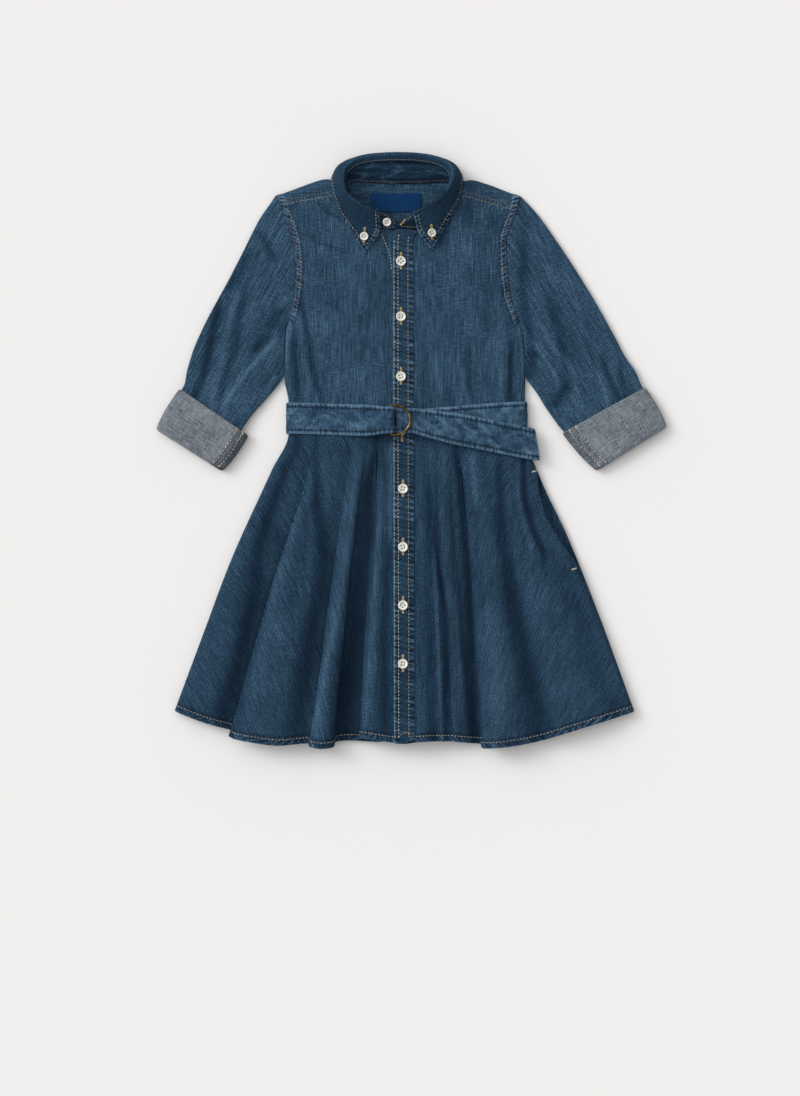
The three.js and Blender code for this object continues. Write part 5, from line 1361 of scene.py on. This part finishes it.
# Underlap of the right front
underlap = [(-25.3, 211.6, 0), (-18.6, 197.0, 0), (-15.4, 187.5, 0), (-13.8, 179.4, 0), (-13.4, 170, 0)]
cream.row(fronts["right"].follow(through(underlap, np.linspace(0, 1, 60))), pitch=3.6)

# Yoke seams, armholes and the skirt's hem
for part in ((0.01, 0.27), (0.73, 0.99)):
    tan.row(yoke.row(1.5, part), pitch=3.6, width=0.65)
    brown.row(yoke.row(6.6, part), pitch=3.6, width=0.6)
    for place in (2.0, 6.6):
        tan.line(yoke.row(place, (0.02, 0.98), from_end=True))
for side in SIDES:
    for place, thread_used in ((1.7, brown), (6.3, tan)):
        small = {"pitch": 3.7, "share": 0.5, "width": 0.6}
        thread_used.row(fronts[side].column(place, (0.5, 0.992), from_end=True), **small)
        thread_used.line(yoke.column(place, (0.01, 0.98), from_end=side == "left"), **small)
    hem_start = 0.012 if side == "right" else PLACKET_U
    tan.row(skirts[side].row(6.4, (hem_start, 0.988), from_end=True), pitch=4.0)
    navy.line(sleeves[side].row(1.6, (0.02, 0.98)))
tan.line(back_skirt.row(6.4, (0.01, 0.99), from_end=True))

# Collar: a row round the leaf, rows inside the stand, and one along the stand's seam
tan.row(leaf.row(4.6, (0.018, 0.982), from_end=True), pitch=3.8)
for last in (False, True):
    tan.row(leaf.column(4.4, (0.2, 0.9), from_end=last), pitch=3.8)
tan.line(leaf.row(1.4, (0.33, 0.70)), pitch=3.4, share=0.5, width=0.5)
navy.line(flipped(stand.row(12.5, (0.26, 0.74), from_end=True), COLLAR_CLOTH))
brown.line(flipped(stand.row(1.6, (0.2, 0.8)), COLLAR_CLOTH), pitch=3.4, width=0.6)
for part in ((0.012, 0.12), (0.88, 0.988)):
    for place, last in ((1.6, False), (1.8, True)):
        tan.line(stand.row(place, part, from_end=last), pitch=3.2, width=0.55)

# Belt: tone on tone along both sides of both faces, and across its free end
for underneath in (False, True):
    for last in (False, True):
        run = belt.column(3.5, (0.004, 0.996), from_end=last)
        navy.line(flipped(run, BELT_THICK - 0.2) if underneath else run, pitch=3.6, share=0.7, height=0.4)
    run = belt.row(4.0, (0.12, 0.88), from_end=True)
    navy.line(flipped(run, BELT_THICK) if underneath else run)

# Cuffs: the felled seam of the sleeve, turned out
for cuff in cuffs.values():
    for place, sway in zip(CUFF_ROWS, (0.0022, 0.0044)):
        across, along = place + sway * np.sin(np.arange(200) * 0.9), np.linspace(4.2 / 15, 7.95 / 15, 200)
        cream.line(cuff.at(across, along), pitch=5.0, share=0.4, width=0.85)
    navy.line(cuff.at(np.linspace(0.02, 0.98, 400), 4.45 / 15), width=0.4)

# Pocket: a row along the mouth, and a bartack at each end
navy.line(skirts["left"].column(5.0, (0.17, 0.46), from_end=True))
bar = np.linspace(-1, 1, 9)[:, None] * (2.9, 0.9, 0)
for x, y in ((150.6, -61.5), (196.5, -173.4)):
    for offset in (-0.5, 0.0, 0.5):
        run = skirts["left"].follow(bar + (x, y + offset, 0))
        cream.line(run, pitch=2.0, share=1.3, width=0.6, height=0.5)


def buttonhole(panel, x, y, degrees, length, wide=2.7):
    """A worked buttonhole: close bars down both sides, and a bar across each end."""
    way = np.array([math.cos(math.radians(degrees)), math.sin(math.radians(degrees)), 0])
    points, up = panel.follow(np.linspace(-0.5, 0.5, int(length / 0.5))[:, None] * way * length + (x, y, 0))
    side = np.cross(up, way)
    for hand in (-1, 1):
        gold.stitches(points + side * hand * wide * 0.27, side, up, wide * 0.44, width=0.5, height=0.42)
    ends = [0, 1, -2, -1]
    gold.stitches(points[ends], side[ends], up[ends], wide, width=0.7, height=0.6)


for x, y, above in FRONT_BUTTONS:
    buttonhole(placket, x, y + above, 90, 19.0)
buttonhole(leaf, -44.3, 209.0, 86, 16.5)
buttonhole(leaf, 32.8, 212.6, 92, 16.0)
buttonhole(stand, -0.2, 223.6, 48, 8.0, wide=1.8)

# Button thread: two bars through the holes, each wound twice
for origin, axes in button_places:
    for x in (-HOLE_OUT, HOLE_OUT):
        for slip in (-0.16, 0.16):
            centre = origin + axes @ (x + slip, 0, 1.42)
            cream.stitches(centre[None], axes[:, 1][None], axes[:, 2][None], 3.3, width=0.34, height=0.42)

for thread_used in sewing:
    thread_used.make()

# Camera, light and floor

VIEW_MIDDLE = (np.array([-3.45, -149.5, 0.0]) + SHIFT) * MM
VIEW_TALL, CAMERA_HIGH, SENSOR = 1260.4, 3200.0, 24
FLOOR_HALF, FLOOR_Z = 40.0, -0.0004


def add_object(name, data):
    made = bpy.data.objects.new(name, data)
    bpy.context.scene.collection.objects.link(made)
    return made


def lamp(name, bearing, height, softness, share):
    """A distant light, its angles in degrees, that gives the floor a share of its brightness."""
    bearing, height = math.radians(bearing), math.radians(height)
    light = bpy.data.lights.new(name, "SUN")
    light.angle = math.radians(softness)
    light.energy = share * math.pi / math.sin(height)
    flat = math.cos(height)
    towards = Vector((-math.sin(bearing) * flat, math.cos(bearing) * flat, math.sin(height)))
    made = add_object(name, light)
    made.rotation_euler = towards.to_track_quat("Z", "Y").to_euler()
    made.location = towards * 3


camera = bpy.data.cameras.new("camera")
camera.sensor_fit, camera.sensor_height = "VERTICAL", SENSOR
camera.lens = SENSOR * CAMERA_HIGH / VIEW_TALL
camera.clip_start, camera.clip_end = 0.05, 50
scene = bpy.context.scene
scene.camera = add_object("camera", camera)
scene.camera.location = (VIEW_MIDDLE[0], VIEW_MIDDLE[1], CAMERA_HIGH * MM)

floor_mesh = bpy.data.meshes.new("floor")
corners = [(x * FLOOR_HALF, y * FLOOR_HALF, FLOOR_Z) for x, y in ((-1, -1), (1, -1), (1, 1), (-1, 1))]
floor_mesh.from_pydata(corners, [], [(0, 1, 2, 3)])
floor_mesh.materials.append(floor_paper())
add_object("floor", floor_mesh)

lamp("key", 62, 30, 26, 0.205)
lamp("broad", 58, 42, 75, 0.27)
scene.world = bpy.data.worlds.new("studio")
scene.world.use_nodes = True
background = scene.world.node_tree.nodes["Background"].inputs
background["Color"].default_value = (1, 1, 1, 1)
background["Strength"].default_value = 0.525
scene.view_settings.view_transform = "Standard"
